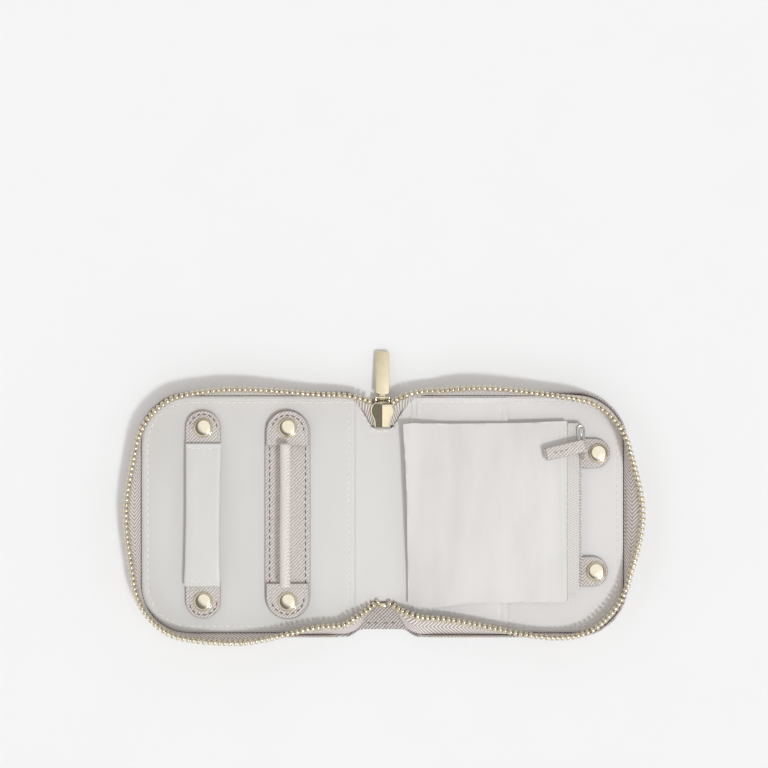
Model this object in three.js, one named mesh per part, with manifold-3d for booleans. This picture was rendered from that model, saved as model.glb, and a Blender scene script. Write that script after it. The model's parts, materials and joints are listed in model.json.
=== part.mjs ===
// A zip-round travel jewellery case, opened flat: two shallow halves joined by a narrow spine.
// The left half carries a ring bar and an earring bar, the right half a zipped pouch, each held by snaps.
// Millimetres, +Z up. X runs across the two halves and Y along the spine.
// The origin is the centre of the spine's outer face, which lies on the table.
import * as THREE from "three";
import { mergeVertices } from "three/addons/utils/BufferGeometryUtils.js";
import Module from "manifold-3d";

const wasm = await Module();
wasm.setup();

// ---- Driving dimensions ----

const FOLD_X = 14.5; // spine centre line to each fold line: the closed case is twice this thick
const FOLD_Z = 0.5; // height of the fold axes, the middle of the cover's thickness
const HALF_X = 120.5; // spine centre line to the outer edge of a half
const HALF_Y = 60.3; // half the length of a half, along the spine
const CORNER_R = 26; // plan radius of the outer corners
const SPINE_Y = 56.6; // half the length of the spine, a little shorter than the halves

const COVER_T = 1.0;
const BOARD_T = 1.2;
const LINING_T = 0.6;
const BOARD_Z = COVER_T;
const LINING_Z = BOARD_Z + BOARD_T;
const INSIDE_Z = LINING_Z + LINING_T; // top of the lining, where everything inside stands

const COVER_GAP = 0.65; // fold line to the edge of each cover panel
const BOARD_GAP = 2.5; // fold line to the edge of each board, so that the stack can turn
const RIM_TOP = 4.2; // the cover turns up to here round each half
const RIM_T = 1.0;
const SEAM_GAP = 0.3; // clear space kept between neighbours that bend or are cut

const TAPE_T = 0.7; // woven zip tape
const TAPE_INSET = RIM_T + SEAM_GAP + TAPE_T / 2; // cover edge to the middle of the tape
const LINING_INSET = TAPE_INSET + TAPE_T / 2 + SEAM_GAP;
const WALL_START_X = 20; // the stiff part of each zip wall starts here, clear of the fold
const ROW_W = 2.8; // across a row of zip teeth
const ROW_H = 3.0;
const ROW_TOP = FOLD_Z + FOLD_X - SEAM_GAP / 2; // the two rows meet face to face when closed

const SNAP_R = 4.9;
const SNAP_H = 1.8;
const TAB_T = 1.2;

// ---- Materials ----

const surface = (color, roughness, metalness = 0) => new THREE.MeshStandardMaterial({ color, roughness, metalness });
const taupeLeather = surface(0xc9c2bf, 0.55);
const greyLining = surface(0xd9d7d3, 0.6);
const paleSatin = surface(0xe3dfdc, 0.45);
const wovenTape = surface(0xb9b0ad, 0.85);
const greyBoard = surface(0x8f8a84, 0.9);
const paleGold = surface(0xdccfa6, 0.22, 1);
const silver = surface(0xd5d5d2, 0.2, 1);
const coilNylon = surface(0xb4b0aa, 0.6);

const root = new THREE.Group();

function part(name, geometry, material, parent = root) {
  const mesh = new THREE.Mesh(geometry, material);
  mesh.name = name;
  parent.add(mesh);
  return mesh;
}

// ---- Geometry helpers ----

// A closed geometry as a solid that can be joined and cut.
function solid(geometry) {
  const bare = geometry.index ? geometry.toNonIndexed() : geometry.clone();
  bare.deleteAttribute("normal");
  bare.deleteAttribute("uv");
  const merged = mergeVertices(bare, 1e-4);
  return new wasm.Manifold(
    new wasm.Mesh({
      numProp: 3,
      vertProperties: new Float32Array(merged.attributes.position.array),
      triVerts: new Uint32Array(merged.index.array),
    }),
  );
}

function geometryOf(body) {
  const mesh = body.getMesh();
  const geometry = new THREE.BufferGeometry();
  geometry.setAttribute("position", new THREE.BufferAttribute(mesh.vertProperties, 3));
  geometry.setIndex(new THREE.BufferAttribute(mesh.triVerts, 1));
  return geometry;
}

const joined = (...geometries) => geometryOf(geometries.map(solid).reduce((a, b) => a.add(b)));
const cut = (geometry, ...tools) => geometryOf(tools.map(solid).reduce((a, b) => a.subtract(b), solid(geometry)));

function slab(shape, low, high, curveSegments = 8) {
  const geometry = new THREE.ExtrudeGeometry(shape, { depth: high - low, bevelEnabled: false, curveSegments });
  return geometry.translate(0, 0, low);
}

function block([x0, x1], [y0, y1], [z0, z1]) {
  const geometry = new THREE.BoxGeometry(x1 - x0, y1 - y0, z1 - z0);
  return geometry.translate((x0 + x1) / 2, (y0 + y1) / 2, (z0 + z1) / 2);
}

// A rod along X.
function rodX(radius, [x0, x1], y, z, sides = 12) {
  const geometry = new THREE.CylinderGeometry(radius, radius, x1 - x0, sides).rotateZ(Math.PI / 2);
  return geometry.translate((x0 + x1) / 2, y, z);
}

const polygon = (points) => new THREE.Shape(points.map(([x, y]) => new THREE.Vector2(x, y)));

// A shape drawn for the right half, on the side asked for.
const onSide = (shape, side) => new THREE.Shape(shape.getPoints(8).map((p) => new THREE.Vector2(side * p.x, p.y)));

function roundedRect(x0, x1, y0, y1, leftR, rightR = leftR) {
  const shape = new THREE.Shape();
  shape.moveTo(x0 + leftR, y0);
  shape.lineTo(x1 - rightR, y0);
  shape.absarc(x1 - rightR, y0 + rightR, rightR, -Math.PI / 2, 0, false);
  shape.lineTo(x1, y1 - rightR);
  shape.absarc(x1 - rightR, y1 - rightR, rightR, 0, Math.PI / 2, false);
  shape.lineTo(x0 + leftR, y1);
  if (leftR > 0) {
    shape.absarc(x0 + leftR, y1 - leftR, leftR, Math.PI / 2, Math.PI, false);
    shape.lineTo(x0, y0 + leftR);
    shape.absarc(x0 + leftR, y0 + leftR, leftR, Math.PI, 1.5 * Math.PI, false);
  }
  return shape;
}

// The plan of one half, drawn in from its edge by inset and starting at x = inner beside the spine.
function halfPlan(side, inset, inner, innerR = 0) {
  const y = HALF_Y - inset;
  return onSide(roundedRect(inner, HALF_X - inset, -y, y, innerR, CORNER_R - inset), side);
}

// A closed body through rings of points. Point i of a ring faces point (last - i), which fills the two end caps.
function loft(rings) {
  const count = rings[0].length;
  const triangles = [];
  const quad = (a, b, c, d) => triangles.push(a, b, c, a, c, d);
  for (let k = 0; k + 1 < rings.length; k++)
    for (let i = 0; i < count; i++) {
      const j = (i + 1) % count;
      quad(rings[k][i], rings[k][j], rings[k + 1][j], rings[k + 1][i]);
    }
  const first = rings[0];
  const last = rings[rings.length - 1];
  for (let i = 0; i + 1 < count / 2; i++) {
    quad(first[i], first[count - 1 - i], first[count - 2 - i], first[i + 1]);
    quad(last[i], last[i + 1], last[count - 2 - i], last[count - 1 - i]);
  }
  let volume = 0;
  const normal = new THREE.Vector3();
  for (let i = 0; i < triangles.length; i += 3)
    volume += triangles[i].dot(normal.crossVectors(triangles[i + 1], triangles[i + 2]));
  if (volume < 0) triangles.reverse();
  return new THREE.BufferGeometry().setFromPoints(triangles);
}

// A value between named stations, easing from each to the next.
function eased(stations, t, field) {
  const next = Math.max(1, stations.findIndex((s) => s.at >= t));
  const from = stations[next - 1];
  const to = stations[next];
  return from[field] + (to[field] - from[field]) * THREE.MathUtils.smoothstep(t, from.at, to.at);
}

// ---- The two halves: cover, board, lining, zip wall and zip teeth ----

function cover(side) {
  const plate = slab(halfPlan(side, 0, FOLD_X + COVER_GAP, 4), 0, COVER_T);
  const rim = cut(
    slab(halfPlan(side, 0, WALL_START_X), COVER_T - 0.2, RIM_TOP),
    slab(halfPlan(side, RIM_T, WALL_START_X - 1), 0, RIM_TOP + 1),
  );
  return joined(plate, rim);
}

// The tape keeps its width, so a wall that leans out or in stands lower.
const TAPE_REACH = 12.25;
const leaning = (flare) => ROW_TOP - TAPE_REACH + Math.sqrt(TAPE_REACH ** 2 - flare ** 2);

// How far the teeth stand out past the foot of the wall, and how high, from the top end of the spine round to
// the bottom end. The tape is straight, so it splays along each side and is drawn in at the corners.
const WALL_STATIONS = {
  left: [
    { at: 0, flare: -0.2, top: 12.6 },
    { at: 0.17, flare: 2.8, top: ROW_TOP },
    { at: 0.32, flare: -1.4, top: ROW_TOP },
    { at: 0.5, flare: 6.0, top: leaning(6.0) },
    { at: 0.68, flare: 0.2, top: ROW_TOP },
    { at: 0.82, flare: 3.6, top: ROW_TOP },
    { at: 1, flare: -4.9, top: 10.8 },
  ],
  right: [
    { at: 0, flare: 1.8, top: 12.6 },
    { at: 0.09, flare: 3.4, top: ROW_TOP },
    { at: 0.31, flare: -2.9, top: ROW_TOP },
    { at: 0.5, flare: 8.0, top: leaning(8.0) },
    { at: 0.68, flare: -2.6, top: ROW_TOP },
    { at: 0.775, flare: 1.0, top: ROW_TOP },
    { at: 1, flare: -8.6, top: 10.8 },
  ],
};
const WALL_STEPS = 58;

// Points round the foot of a half's wall, each with its outward direction, the teeth's flare and their height.
function wallFoot(side, stations) {
  const x = HALF_X - TAPE_INSET;
  const y = HALF_Y - TAPE_INSET;
  const r = CORNER_R - TAPE_INSET;
  const path = new THREE.Path();
  path.moveTo(WALL_START_X, y);
  path.lineTo(x - r, y);
  path.absarc(x - r, y - r, r, Math.PI / 2, 0, true);
  path.lineTo(x, r - y);
  path.absarc(x - r, r - y, r, 0, -Math.PI / 2, true);
  path.lineTo(WALL_START_X, -y);
  return path.getSpacedPoints(WALL_STEPS).map((p, i) => {
    const t = i / WALL_STEPS;
    const along = path.getTangentAt(t);
    return {
      at: (out, z) => new THREE.Vector3(side * (p.x - along.y * out), p.y + along.x * out, z),
      flare: eased(stations, t, "flare"),
      top: eased(stations, t, "top"),
    };
  });
}

const zipWall = (foot) =>
  loft(
    foot.map(({ at, flare, top }) => {
      const levels = [
        [0, COVER_T + 0.1],
        [0, RIM_TOP + SEAM_GAP],
        [flare, top - ROW_H - SEAM_GAP],
      ];
      const outer = levels.map(([out, z]) => at(out + TAPE_T / 2, z));
      const inner = levels.map(([out, z]) => at(out - TAPE_T / 2, z)).reverse();
      return [...outer, ...inner];
    }),
  );

const zipTeeth = (foot) =>
  loft(
    foot.map(({ at, flare, top }) => [
      at(flare + ROW_W / 2, top - ROW_H),
      at(flare + ROW_W / 2, top),
      at(flare - ROW_W / 2, top),
      at(flare - ROW_W / 2, top - ROW_H),
    ]),
  );

function half(name, side) {
  const foot = wallFoot(side, WALL_STATIONS[name]);
  const boardPlan = () => halfPlan(side, LINING_INSET, FOLD_X + BOARD_GAP);
  part(name + "_cover", cover(side), taupeLeather);
  part(name + "_board", slab(boardPlan(), BOARD_Z, LINING_Z), greyBoard);
  part(name + "_lining", slab(boardPlan(), LINING_Z, INSIDE_Z), greyLining);
  part(name + "_zip_tape", zipWall(foot), wovenTape);
  part(name + "_zip_teeth", zipTeeth(foot), paleGold);
}

half("left", -1);
half("right", 1);

// ---- Spine: cover with turned hems, board, notched lining and the two ends of the zip ----

const NOTCH_Y = 42.7; // straight edge of each notch in the spine lining, which leaves room for the zip
const NOTCH_HALF_W = 5.3;
const LINING_TIP_Y = 54.5;
const HEM_Y = 51.5;
const HEM_TOP = 1.5;

function spineCover() {
  const x = FOLD_X - COVER_GAP;
  const plate = slab(polygon([[-x, -SPINE_Y], [x, -SPINE_Y], [x, SPINE_Y], [-x, SPINE_Y]]), 0, COVER_T);
  const hemX = x - 0.5;
  const hem = (y0, y1) => block([-hemX, hemX], [y0, y1], [COVER_T - 0.2, HEM_TOP]);
  return joined(plate, hem(-SPINE_Y, -HEM_Y), hem(HEM_Y, SPINE_Y));
}

function spineLining() {
  const x = FOLD_X - BOARD_GAP;
  const right = [[x, -LINING_TIP_Y], [x, LINING_TIP_Y], [NOTCH_HALF_W, NOTCH_Y]];
  const left = [[-NOTCH_HALF_W, NOTCH_Y], [-x, LINING_TIP_Y], [-x, -LINING_TIP_Y]];
  const bottom = [[-NOTCH_HALF_W, -NOTCH_Y], [NOTCH_HALF_W, -NOTCH_Y]];
  return slab(polygon([...right, ...left, ...bottom]), LINING_Z, INSIDE_Z);
}

// A side view in Y and Z, swept across X.
function acrossX(profile, halfWidth) {
  const geometry = slab(polygon(profile), -halfWidth, halfWidth);
  return geometry.rotateX(Math.PI / 2).rotateZ(Math.PI / 2);
}

const SPINE_BOARD_Y = 34;
const ZIP_END_IN = 36; // where the ends of the tape are sewn down, under the lining
const SLIDER_GAP = [4.8, 7.4]; // the channel that the teeth run in
const STOP_FACE = NOTCH_Y + 0.5;

function zipEndTop() {
  const [low, high] = SLIDER_GAP;
  return acrossX(
    [
      [ZIP_END_IN, COVER_T],
      [STOP_FACE + 1.4, COVER_T],
      [STOP_FACE + 1.4, low + 0.2],
      [48, low + 0.2],
      [48, high - 0.2],
      [STOP_FACE, high - 0.2],
      [STOP_FACE, COVER_T + 1],
      [ZIP_END_IN, COVER_T + 1],
    ],
    2.2,
  );
}

const zipEndBottom = () =>
  slab(polygon([[-5, -ZIP_END_IN], [-6, -STOP_FACE - 6], [6, -STOP_FACE - 6], [5, -ZIP_END_IN]]), COVER_T, COVER_T + 0.9);

part("spine_cover", spineCover(), taupeLeather);
part("spine_board", block([-12, 12], [-SPINE_BOARD_Y, SPINE_BOARD_Y], [BOARD_Z, LINING_Z]), greyBoard);
part("spine_lining", spineLining(), greyLining);
part("zip_end_top", zipEndTop(), wovenTape);
part("zip_end_bottom", zipEndBottom(), wovenTape);
part("zip_stop", block([-2.6, 2.6], [-STOP_FACE - 3, -STOP_FACE], [COVER_T + 0.9, COVER_T + 3.9]), paleGold);

// ---- Zip slider and its pull ----

const SLIDER_Y = [42.9, 55.2]; // narrow end and wide end
const SLIDER_W = 5.8; // half the width across the shoulders
const PIN = { y: 57.2, z: 4.6, r: 0.75, halfLength: 3.6 };

// The shield outline of a slider plate, narrow end first.
function shield(narrowY) {
  const [, wideY] = SLIDER_Y;
  const shape = new THREE.Shape();
  shape.moveTo(-3.7, narrowY);
  shape.lineTo(3.7, narrowY);
  shape.bezierCurveTo(3.9, 46.5, 5.7, 47.6, SLIDER_W, 50.6);
  shape.bezierCurveTo(5.9, 53.8, 3.2, wideY, 0, wideY);
  shape.bezierCurveTo(-3.2, wideY, -5.9, 53.8, -SLIDER_W, 50.6);
  shape.bezierCurveTo(-5.7, 47.6, -3.9, 46.5, -3.7, narrowY);
  return shape;
}

function zipSlider() {
  const [low, high] = SLIDER_GAP;
  const plateT = 0.8;
  const arm = (x) => block([x - 0.4, x + 0.4], [53, PIN.y + 0.6], [low - plateT, low]);
  return joined(
    slab(shield(SLIDER_Y[0]), high, high + plateT, 5),
    slab(shield(SLIDER_Y[0] + 2.1), low - plateT, low, 5),
    block([-1.2, 1.2], [51, 54.5], [low - 0.1, high + 0.1]),
    block([-2.2, 2.2], [46, 54], [low - plateT - 1.6, low - plateT + 0.1]),
    arm(-3.2),
    arm(3.2),
    rodX(PIN.r, [-PIN.halfLength, PIN.halfLength], PIN.y, PIN.z),
  );
}

// The pull is drawn along +Y from its hinge pin, then tipped until its far end rests on the table.
const PULL = { length: 23.2, halfWidth: 3.4, thickness: 1.6, neck: 1.5, shoulder: 1.9, dip: 0.125 };

function zipPull() {
  const { length, halfWidth, thickness, neck, shoulder } = PULL;
  const t = thickness / 2;
  const bar = slab(roundedRect(-halfWidth, halfWidth, shoulder, length, 0.5), -t, t, 2);
  const neckPlate = block([-neck, neck], [0, shoulder + 0.2], [-t, t]);
  const eye = rodX(PIN.r + 0.75, [-neck, neck], 0, 0);
  return cut(joined(bar, neckPlate, eye), rodX(PIN.r + 0.25, [-neck - 1, neck + 1], 0, 0));
}

part("zip_slider", zipSlider(), paleGold);
const pull = part("zip_pull", zipPull(), paleGold);
pull.position.set(0, PIN.y, PIN.z);
pull.rotation.x = -PULL.dip;

// ---- Snaps: a stud with a base on the lining, and a domed cap on the tab above it ----

const STUD_BASE_H = 0.5;
const lathe = (profile, sides = 16) =>
  new THREE.LatheGeometry(profile.map(([r, z]) => new THREE.Vector2(r, z)), sides).rotateX(Math.PI / 2);

// Heights are from the surface that the base stands on.
const stud = (tabTop) =>
  lathe([[0, 0], [4, 0], [4, STUD_BASE_H], [1.5, STUD_BASE_H], [1.5, tabTop + 0.6], [0, tabTop + 0.6]], 12);

const cap = () =>
  lathe([
    [0, 1.0],
    [1.9, 1.0],
    [1.9, 0],
    [SNAP_R, 0],
    [SNAP_R, 0.7],
    [SNAP_R - 0.9, SNAP_H - 0.3],
    [SNAP_R - 2.2, SNAP_H],
    [0, SNAP_H],
  ]);

// A snap at x, y: its stud stands on floorZ and its cap on a tab whose top is at tabTopZ.
function snap(name, x, y, floorZ, tabTopZ) {
  part(name + "_stud", stud(tabTopZ - floorZ), silver).position.set(x, y, floorZ);
  part(name + "_cap", cap(), paleGold).position.set(x, y, tabTopZ);
}

// A leather tab with a round outer end and a hole for the snap. It is drawn pointing along +Y.
function tab(halfWidth, inner, outer, snapAt, low) {
  const shape = new THREE.Shape();
  shape.moveTo(-halfWidth, inner);
  shape.lineTo(halfWidth, inner);
  shape.lineTo(halfWidth, outer - halfWidth);
  shape.absarc(0, outer - halfWidth, halfWidth, 0, Math.PI, false);
  const hole = new THREE.Path();
  hole.absarc(0, snapAt, 2, 0, 2 * Math.PI, true);
  shape.holes.push(hole);
  return slab(shape, low, low + TAB_T);
}

// ---- Ring bar: a padded strap between two snapped tabs ----

const RING_X = -87.9;
const RING_HALF_W = 8.6;
const BAR_END = 34.9; // both bars run from -BAR_END to +BAR_END along Y
const BAR_SNAP_Y = 42.6;
const TAB_END = 51.0;
const RING_TAB_Z = INSIDE_Z + 0.8;

function ringStrap() {
  const section = roundedRect(-RING_HALF_W, RING_HALF_W, 0, 3.2, 1.5);
  const geometry = new THREE.ExtrudeGeometry(section, { depth: 2 * BAR_END, bevelEnabled: false, curveSegments: 3 });
  return geometry.rotateX(Math.PI / 2).translate(0, BAR_END, 4.4);
}

function endTab(name, x, halfWidth, low, upper) {
  const mesh = part(name, tab(halfWidth, BAR_END + SEAM_GAP, TAB_END, BAR_SNAP_Y, low), taupeLeather);
  mesh.position.x = x;
  if (!upper) mesh.rotation.z = Math.PI;
}

part("ring_bar_strap", ringStrap(), paleSatin).position.x = RING_X;
endTab("ring_bar_upper_tab", RING_X, RING_HALF_W, RING_TAB_Z, true);
endTab("ring_bar_lower_tab", RING_X, RING_HALF_W, RING_TAB_Z, false);
snap("ring_bar_upper", RING_X, BAR_SNAP_Y, INSIDE_Z, RING_TAB_Z + TAB_T);
snap("ring_bar_lower", RING_X, -BAR_SNAP_Y, INSIDE_Z, RING_TAB_Z + TAB_T);

// ---- Earring bar: a leather roll held over a stitched base panel ----

const EARRING_X = -46.5;
const EARRING_HALF_W = 11.2;
const BASE_T = 1.0;
const EARRING_TAB_Z = INSIDE_Z + BASE_T + 0.6;
const ROLL = { r: 2.6, z: 10.4, x: -0.9 };

const earringBase = () => {
  const round = EARRING_HALF_W;
  return slab(roundedRect(-round, round, -51.4, 51.4, round - 0.1), INSIDE_Z, INSIDE_Z + BASE_T);
};

// The roll's ends turn down to the tabs.
function earringRoll() {
  const roll = new THREE.CylinderGeometry(ROLL.r, ROLL.r, 2 * BAR_END, 12).translate(0, 0, ROLL.z);
  const foot = (y0) => block([-2.2, 2.2], [y0, y0 + 2], [EARRING_TAB_Z + 0.1, ROLL.z]);
  return joined(roll, foot(-BAR_END), foot(BAR_END - 2)).translate(ROLL.x, 0, 0);
}

part("earring_base_panel", earringBase(), taupeLeather).position.x = EARRING_X;
part("earring_bar_roll", earringRoll(), taupeLeather).position.x = EARRING_X;
endTab("earring_bar_upper_tab", EARRING_X, EARRING_HALF_W - 0.8, EARRING_TAB_Z, true);
endTab("earring_bar_lower_tab", EARRING_X, EARRING_HALF_W - 0.8, EARRING_TAB_Z, false);
snap("earring_bar_upper", EARRING_X, BAR_SNAP_Y, INSIDE_Z + BASE_T, EARRING_TAB_Z + TAB_T);
snap("earring_bar_lower", EARRING_X, -BAR_SNAP_Y, INSIDE_Z + BASE_T, EARRING_TAB_Z + TAB_T);

// ---- Right half: slip pocket, and a zipped pouch on two snapped tabs ----

const POCKET_T = 0.4;
const POCKET_X = [FOLD_X + BOARD_GAP, 61.5];
const POCKET_Y = 57.2;
part("slip_pocket", block(POCKET_X, [-POCKET_Y, POCKET_Y], [INSIDE_Z, INSIDE_Z + POCKET_T]), greyLining);

const POUCH = { x: [18.2, 92.0], y: [-43.6, 45.7], z: [3.9, 8.2] };
const POUCH_FULL = { x: 74, top: 10.2 }; // the pouch is fuller from its free edge to here
const POUCH_TAPE_X = [92.3, 96.0];
const COIL = { x: [96.3, 97.9], z: [5.6, 7.2] };
const POUCH_ZIP_Y = [-41.5, 44.8];
const pouchBag = () =>
  joined(
    slab(roundedRect(...POUCH.x, ...POUCH.y, 3), ...POUCH.z, 4),
    slab(roundedRect(POUCH.x[0], POUCH_FULL.x, ...POUCH.y, 3), POUCH.z[1] - 1, POUCH_FULL.top, 4),
  );
part("pouch_bag", pouchBag(), paleSatin);
part("pouch_zip_tape", block(POUCH_TAPE_X, POUCH_ZIP_Y, [COIL.z[0] + 0.2, COIL.z[1] - 0.2]), wovenTape);
part("pouch_zip_coil", block(COIL.x, POUCH_ZIP_Y, COIL.z), coilNylon);

// The tabs start just past the pouch's zip, which is the line that the pouch turns up about.
const POUCH_TAB = { root: 100.6, pastSnap: 5.8, halfWidth: 7.4, z: INSIDE_Z + 0.6 };
const POUCH_SNAPS = { upper: [105.8, 30.0], lower: [104.7, -27.9] };

for (const [name, [x, y]] of Object.entries(POUCH_SNAPS)) {
  const tabTop = POUCH_TAB.z + TAB_T;
  const { root, pastSnap, halfWidth, z } = POUCH_TAB;
  const mesh = part(`pouch_${name}_tab`, tab(halfWidth, root - x, pastSnap, 0, z), taupeLeather);
  mesh.rotation.z = -Math.PI / 2;
  mesh.position.set(x, y, 0);
  snap(`pouch_${name}`, x, y, INSIDE_Z, tabTop);
}

// ---- The pouch's own slider, its link and its leather pull ----

const POUCH_SLIDER_Y = [36.5, 44.0];
const LINK = { x: 97.3, y: 35.4, z: 8.4 };
const PULL_TAB = { length: 19.4, near: 1.3, halfWidth: 2.9, low: 9.7, thickness: 1.8, turn: 0.25 };

// A C-shaped body that wraps the coil from its outer side, with a bridge on top.
function pouchSlider() {
  const body = block([94.6, 99.1], POUCH_SLIDER_Y, [4.75, 8.2]);
  const channel = block([93.6, 98.2], [POUCH_SLIDER_Y[0] - 1, POUCH_SLIDER_Y[1] + 1], [5.3, 7.5]);
  const bridge = block([96.4, 97.7], [37.7, 43], [8.1, 9.3]);
  return joined(cut(body, channel), bridge);
}

const pullLink = () => block([-1.2, 1.2], [-2.8, 0.8], [0, 0.7]);

function pullTab() {
  const { length, near, halfWidth, thickness } = PULL_TAB;
  return slab(roundedRect(near - length, near, -halfWidth, halfWidth, 0.8), 0, thickness, 2);
}

part("pouch_slider", pouchSlider(), silver);
part("pouch_pull_link", pullLink(), silver).position.set(LINK.x, LINK.y, LINK.z);
const pouchPull = part("pouch_pull_tab", pullTab(), taupeLeather);
pouchPull.position.set(LINK.x, LINK.y - 1.6, PULL_TAB.low);
pouchPull.rotation.z = PULL_TAB.turn;

export default root;
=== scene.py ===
"""The looks of a zip-round travel jewellery case that lies opened flat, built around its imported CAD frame.

Meshes are worked out in millimetres in the frame's own axes and stored in metres. X runs across the two
halves, Y along the spine towards the zip slider, and Z up. Shapes of the two halves are drawn for the right
half, and side = -1 mirrors them for the left half.
"""

import json
import math
import random

import bmesh
import bpy
from mathutils import Matrix, Vector, noise


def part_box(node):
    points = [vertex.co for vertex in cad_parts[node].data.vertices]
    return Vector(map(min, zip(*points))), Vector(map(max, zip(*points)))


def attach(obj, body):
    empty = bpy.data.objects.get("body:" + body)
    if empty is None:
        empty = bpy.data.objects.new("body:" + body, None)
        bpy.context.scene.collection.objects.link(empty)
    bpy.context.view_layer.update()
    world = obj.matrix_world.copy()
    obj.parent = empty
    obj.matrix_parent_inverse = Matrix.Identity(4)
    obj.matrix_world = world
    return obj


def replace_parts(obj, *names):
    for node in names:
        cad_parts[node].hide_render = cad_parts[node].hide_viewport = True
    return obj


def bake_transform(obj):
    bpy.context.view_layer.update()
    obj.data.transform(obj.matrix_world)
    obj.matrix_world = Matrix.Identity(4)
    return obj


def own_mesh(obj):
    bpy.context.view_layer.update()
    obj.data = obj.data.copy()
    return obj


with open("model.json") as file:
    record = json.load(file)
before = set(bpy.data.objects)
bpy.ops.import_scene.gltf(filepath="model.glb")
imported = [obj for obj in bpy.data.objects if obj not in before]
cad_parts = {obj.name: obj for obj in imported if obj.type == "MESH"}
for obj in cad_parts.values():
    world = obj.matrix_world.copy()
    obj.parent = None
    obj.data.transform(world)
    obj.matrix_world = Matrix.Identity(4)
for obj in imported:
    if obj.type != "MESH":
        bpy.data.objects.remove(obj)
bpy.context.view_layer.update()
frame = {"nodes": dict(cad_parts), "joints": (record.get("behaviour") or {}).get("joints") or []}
scene = bpy.context.scene
dice = random.Random(11)
MM = 0.001


# ---- Places and sizes from the frame, in millimetres ----


def box(node):
    low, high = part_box(node)
    return low / MM, high / MM


def centre(node):
    low, high = box(node)
    return (low + high) / 2


def joint_at(name):
    joint = next(j for j in frame["joints"] if j["name"] == name)
    return Vector(joint["pos_m"]) / MM


HALF_X, HALF_Y = box("right_cover")[1].xy
SPINE_Y = box("spine_cover")[1].y
LINING_X, LINING_Y, INSIDE_Z = box("right_lining")[1]
SKIN_T = 1.0
LINING_T = INSIDE_Z - box("right_lining")[0].z
CORNER_R = 26.0
WALL_START = box("right_zip_tape")[0].x
TAPE_INSET = 1.65
ROW_TOP = box("right_zip_teeth")[1].z
STRIP_X = 17.6  # where the flexible strip over each fold meets the stiff half
NOTCH_X, NOTCH_Y = 5.3, 42.7  # the straight edge of each notch in the lining, at the ends of the spine


# ---- Small helpers ----


def smoothstep(low, high, x):
    t = max(0.0, min(1.0, (x - low) / (high - low)))
    return t * t * (3 - 2 * t)


def bump_at(x, middle, width):
    return math.exp(-(((x - middle) / width) ** 2))


def wobble(x, y, scale, seed=0.0):
    return noise.noise(Vector((x / scale, y / scale, seed)))


def srgb(*rgb):
    """Linear colour of an 8-bit screen colour."""
    values = (v / 255 for v in rgb)
    return tuple(v / 12.92 if v <= 0.04045 else ((v + 0.055) / 1.055) ** 2.4 for v in values) + (1.0,)


def darker(colour, share):
    return tuple(share * c for c in colour[:3]) + (1.0,)


# ---- Materials ----


class Surface:
    """A material's node tree, with a short way to add nodes."""

    def __init__(self, name):
        self.material = bpy.data.materials.new(name)
        self.material.use_nodes = True
        self.nodes = self.material.node_tree.nodes
        self.links = self.material.node_tree.links
        self.shader = self.nodes["Principled BSDF"]

    def set(self, node, inputs):
        for key, value in inputs.items():
            if isinstance(value, bpy.types.NodeSocket):
                self.links.new(value, node.inputs[key])
            else:
                node.inputs[key].default_value = value

    def add(self, kind, inputs=None, out=0, **settings):
        node = self.nodes.new("ShaderNode" + kind)
        for key, value in settings.items():
            setattr(node, key, value)
        self.set(node, inputs or {})
        return node.outputs[out]

    def math(self, operation, a, b=0.0, c=0.0):
        return self.add("Math", {0: a, 1: b, 2: c}, operation=operation)

    def millimetres(self):
        place = self.add("TexCoord", out=3)
        return self.add("VectorMath", {0: place, "Scale": 1 / MM}, operation="SCALE")

    def stretched(self, vector, scale, turn=0.0):
        return self.add("Mapping", {"Vector": vector, "Rotation": (0, 0, turn), "Scale": scale})

    def noise(self, vector, scale, detail=2.0, roughness=0.5):
        inputs = {"Vector": vector, "Scale": scale, "Detail": detail, "Roughness": roughness}
        return self.add("TexNoise", inputs)

    def remap(self, value, low, high, to_low, to_high):
        inputs = {"Value": value, "From Min": low, "From Max": high, "To Min": to_low, "To Max": to_high}
        return self.add("MapRange", inputs)

    def blend(self, factor, first, second):
        return self.add("MixRGB", {"Fac": factor, "Color1": first, "Color2": second})

    def bump(self, height, strength, distance):
        return self.add("Bump", {"Height": height, "Strength": strength, "Distance": distance * MM})

    def finish(self, **inputs):
        self.set(self.shader, {key.replace("_", " "): value for key, value in inputs.items()})
        return self.material


LINING_TURN = 45.0  # half the width over which painted light turns the lining paler towards the right half


def saffiano(name, light, dark, roughness=0.5, pitch=1.2):
    """Leather pressed with fine slanting lines that a weaker set crosses, darker in the grooves."""
    s = Surface(name)
    place = s.millimetres()
    shift = s.add("TexNoise", {"Vector": place, "Scale": 0.5}, out=1)
    shift = s.add("VectorMath", {0: shift, "Scale": 0.8}, operation="SCALE")
    x, y, z = (s.add("SeparateXYZ", {0: s.add("VectorMath", {0: place, 1: shift})}, out=i) for i in range(3))
    across = s.math("ADD", x, z)
    step = math.pi / (pitch * math.sqrt(2))
    lines = []
    for slope in (-1.0, 0.85):
        line = s.math("MULTIPLY_ADD", y, slope, across)
        lines.append(s.math("ABSOLUTE", s.math("SINE", s.math("MULTIPLY", line, step))))
    breaks = s.noise(place, 0.9, 3.0, 0.65)
    ridge = s.math("MULTIPLY_ADD", lines[1], 0.3, lines[0])
    shade = s.math("MULTIPLY_ADD", breaks, 0.9, ridge)
    colour = s.blend(s.remap(shade, 0.7, 1.65, 0.0, 1.0), dark, light)
    return s.finish(Base_Color=colour, Roughness=roughness, Normal=s.bump(ridge, 0.6, 0.2))


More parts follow.
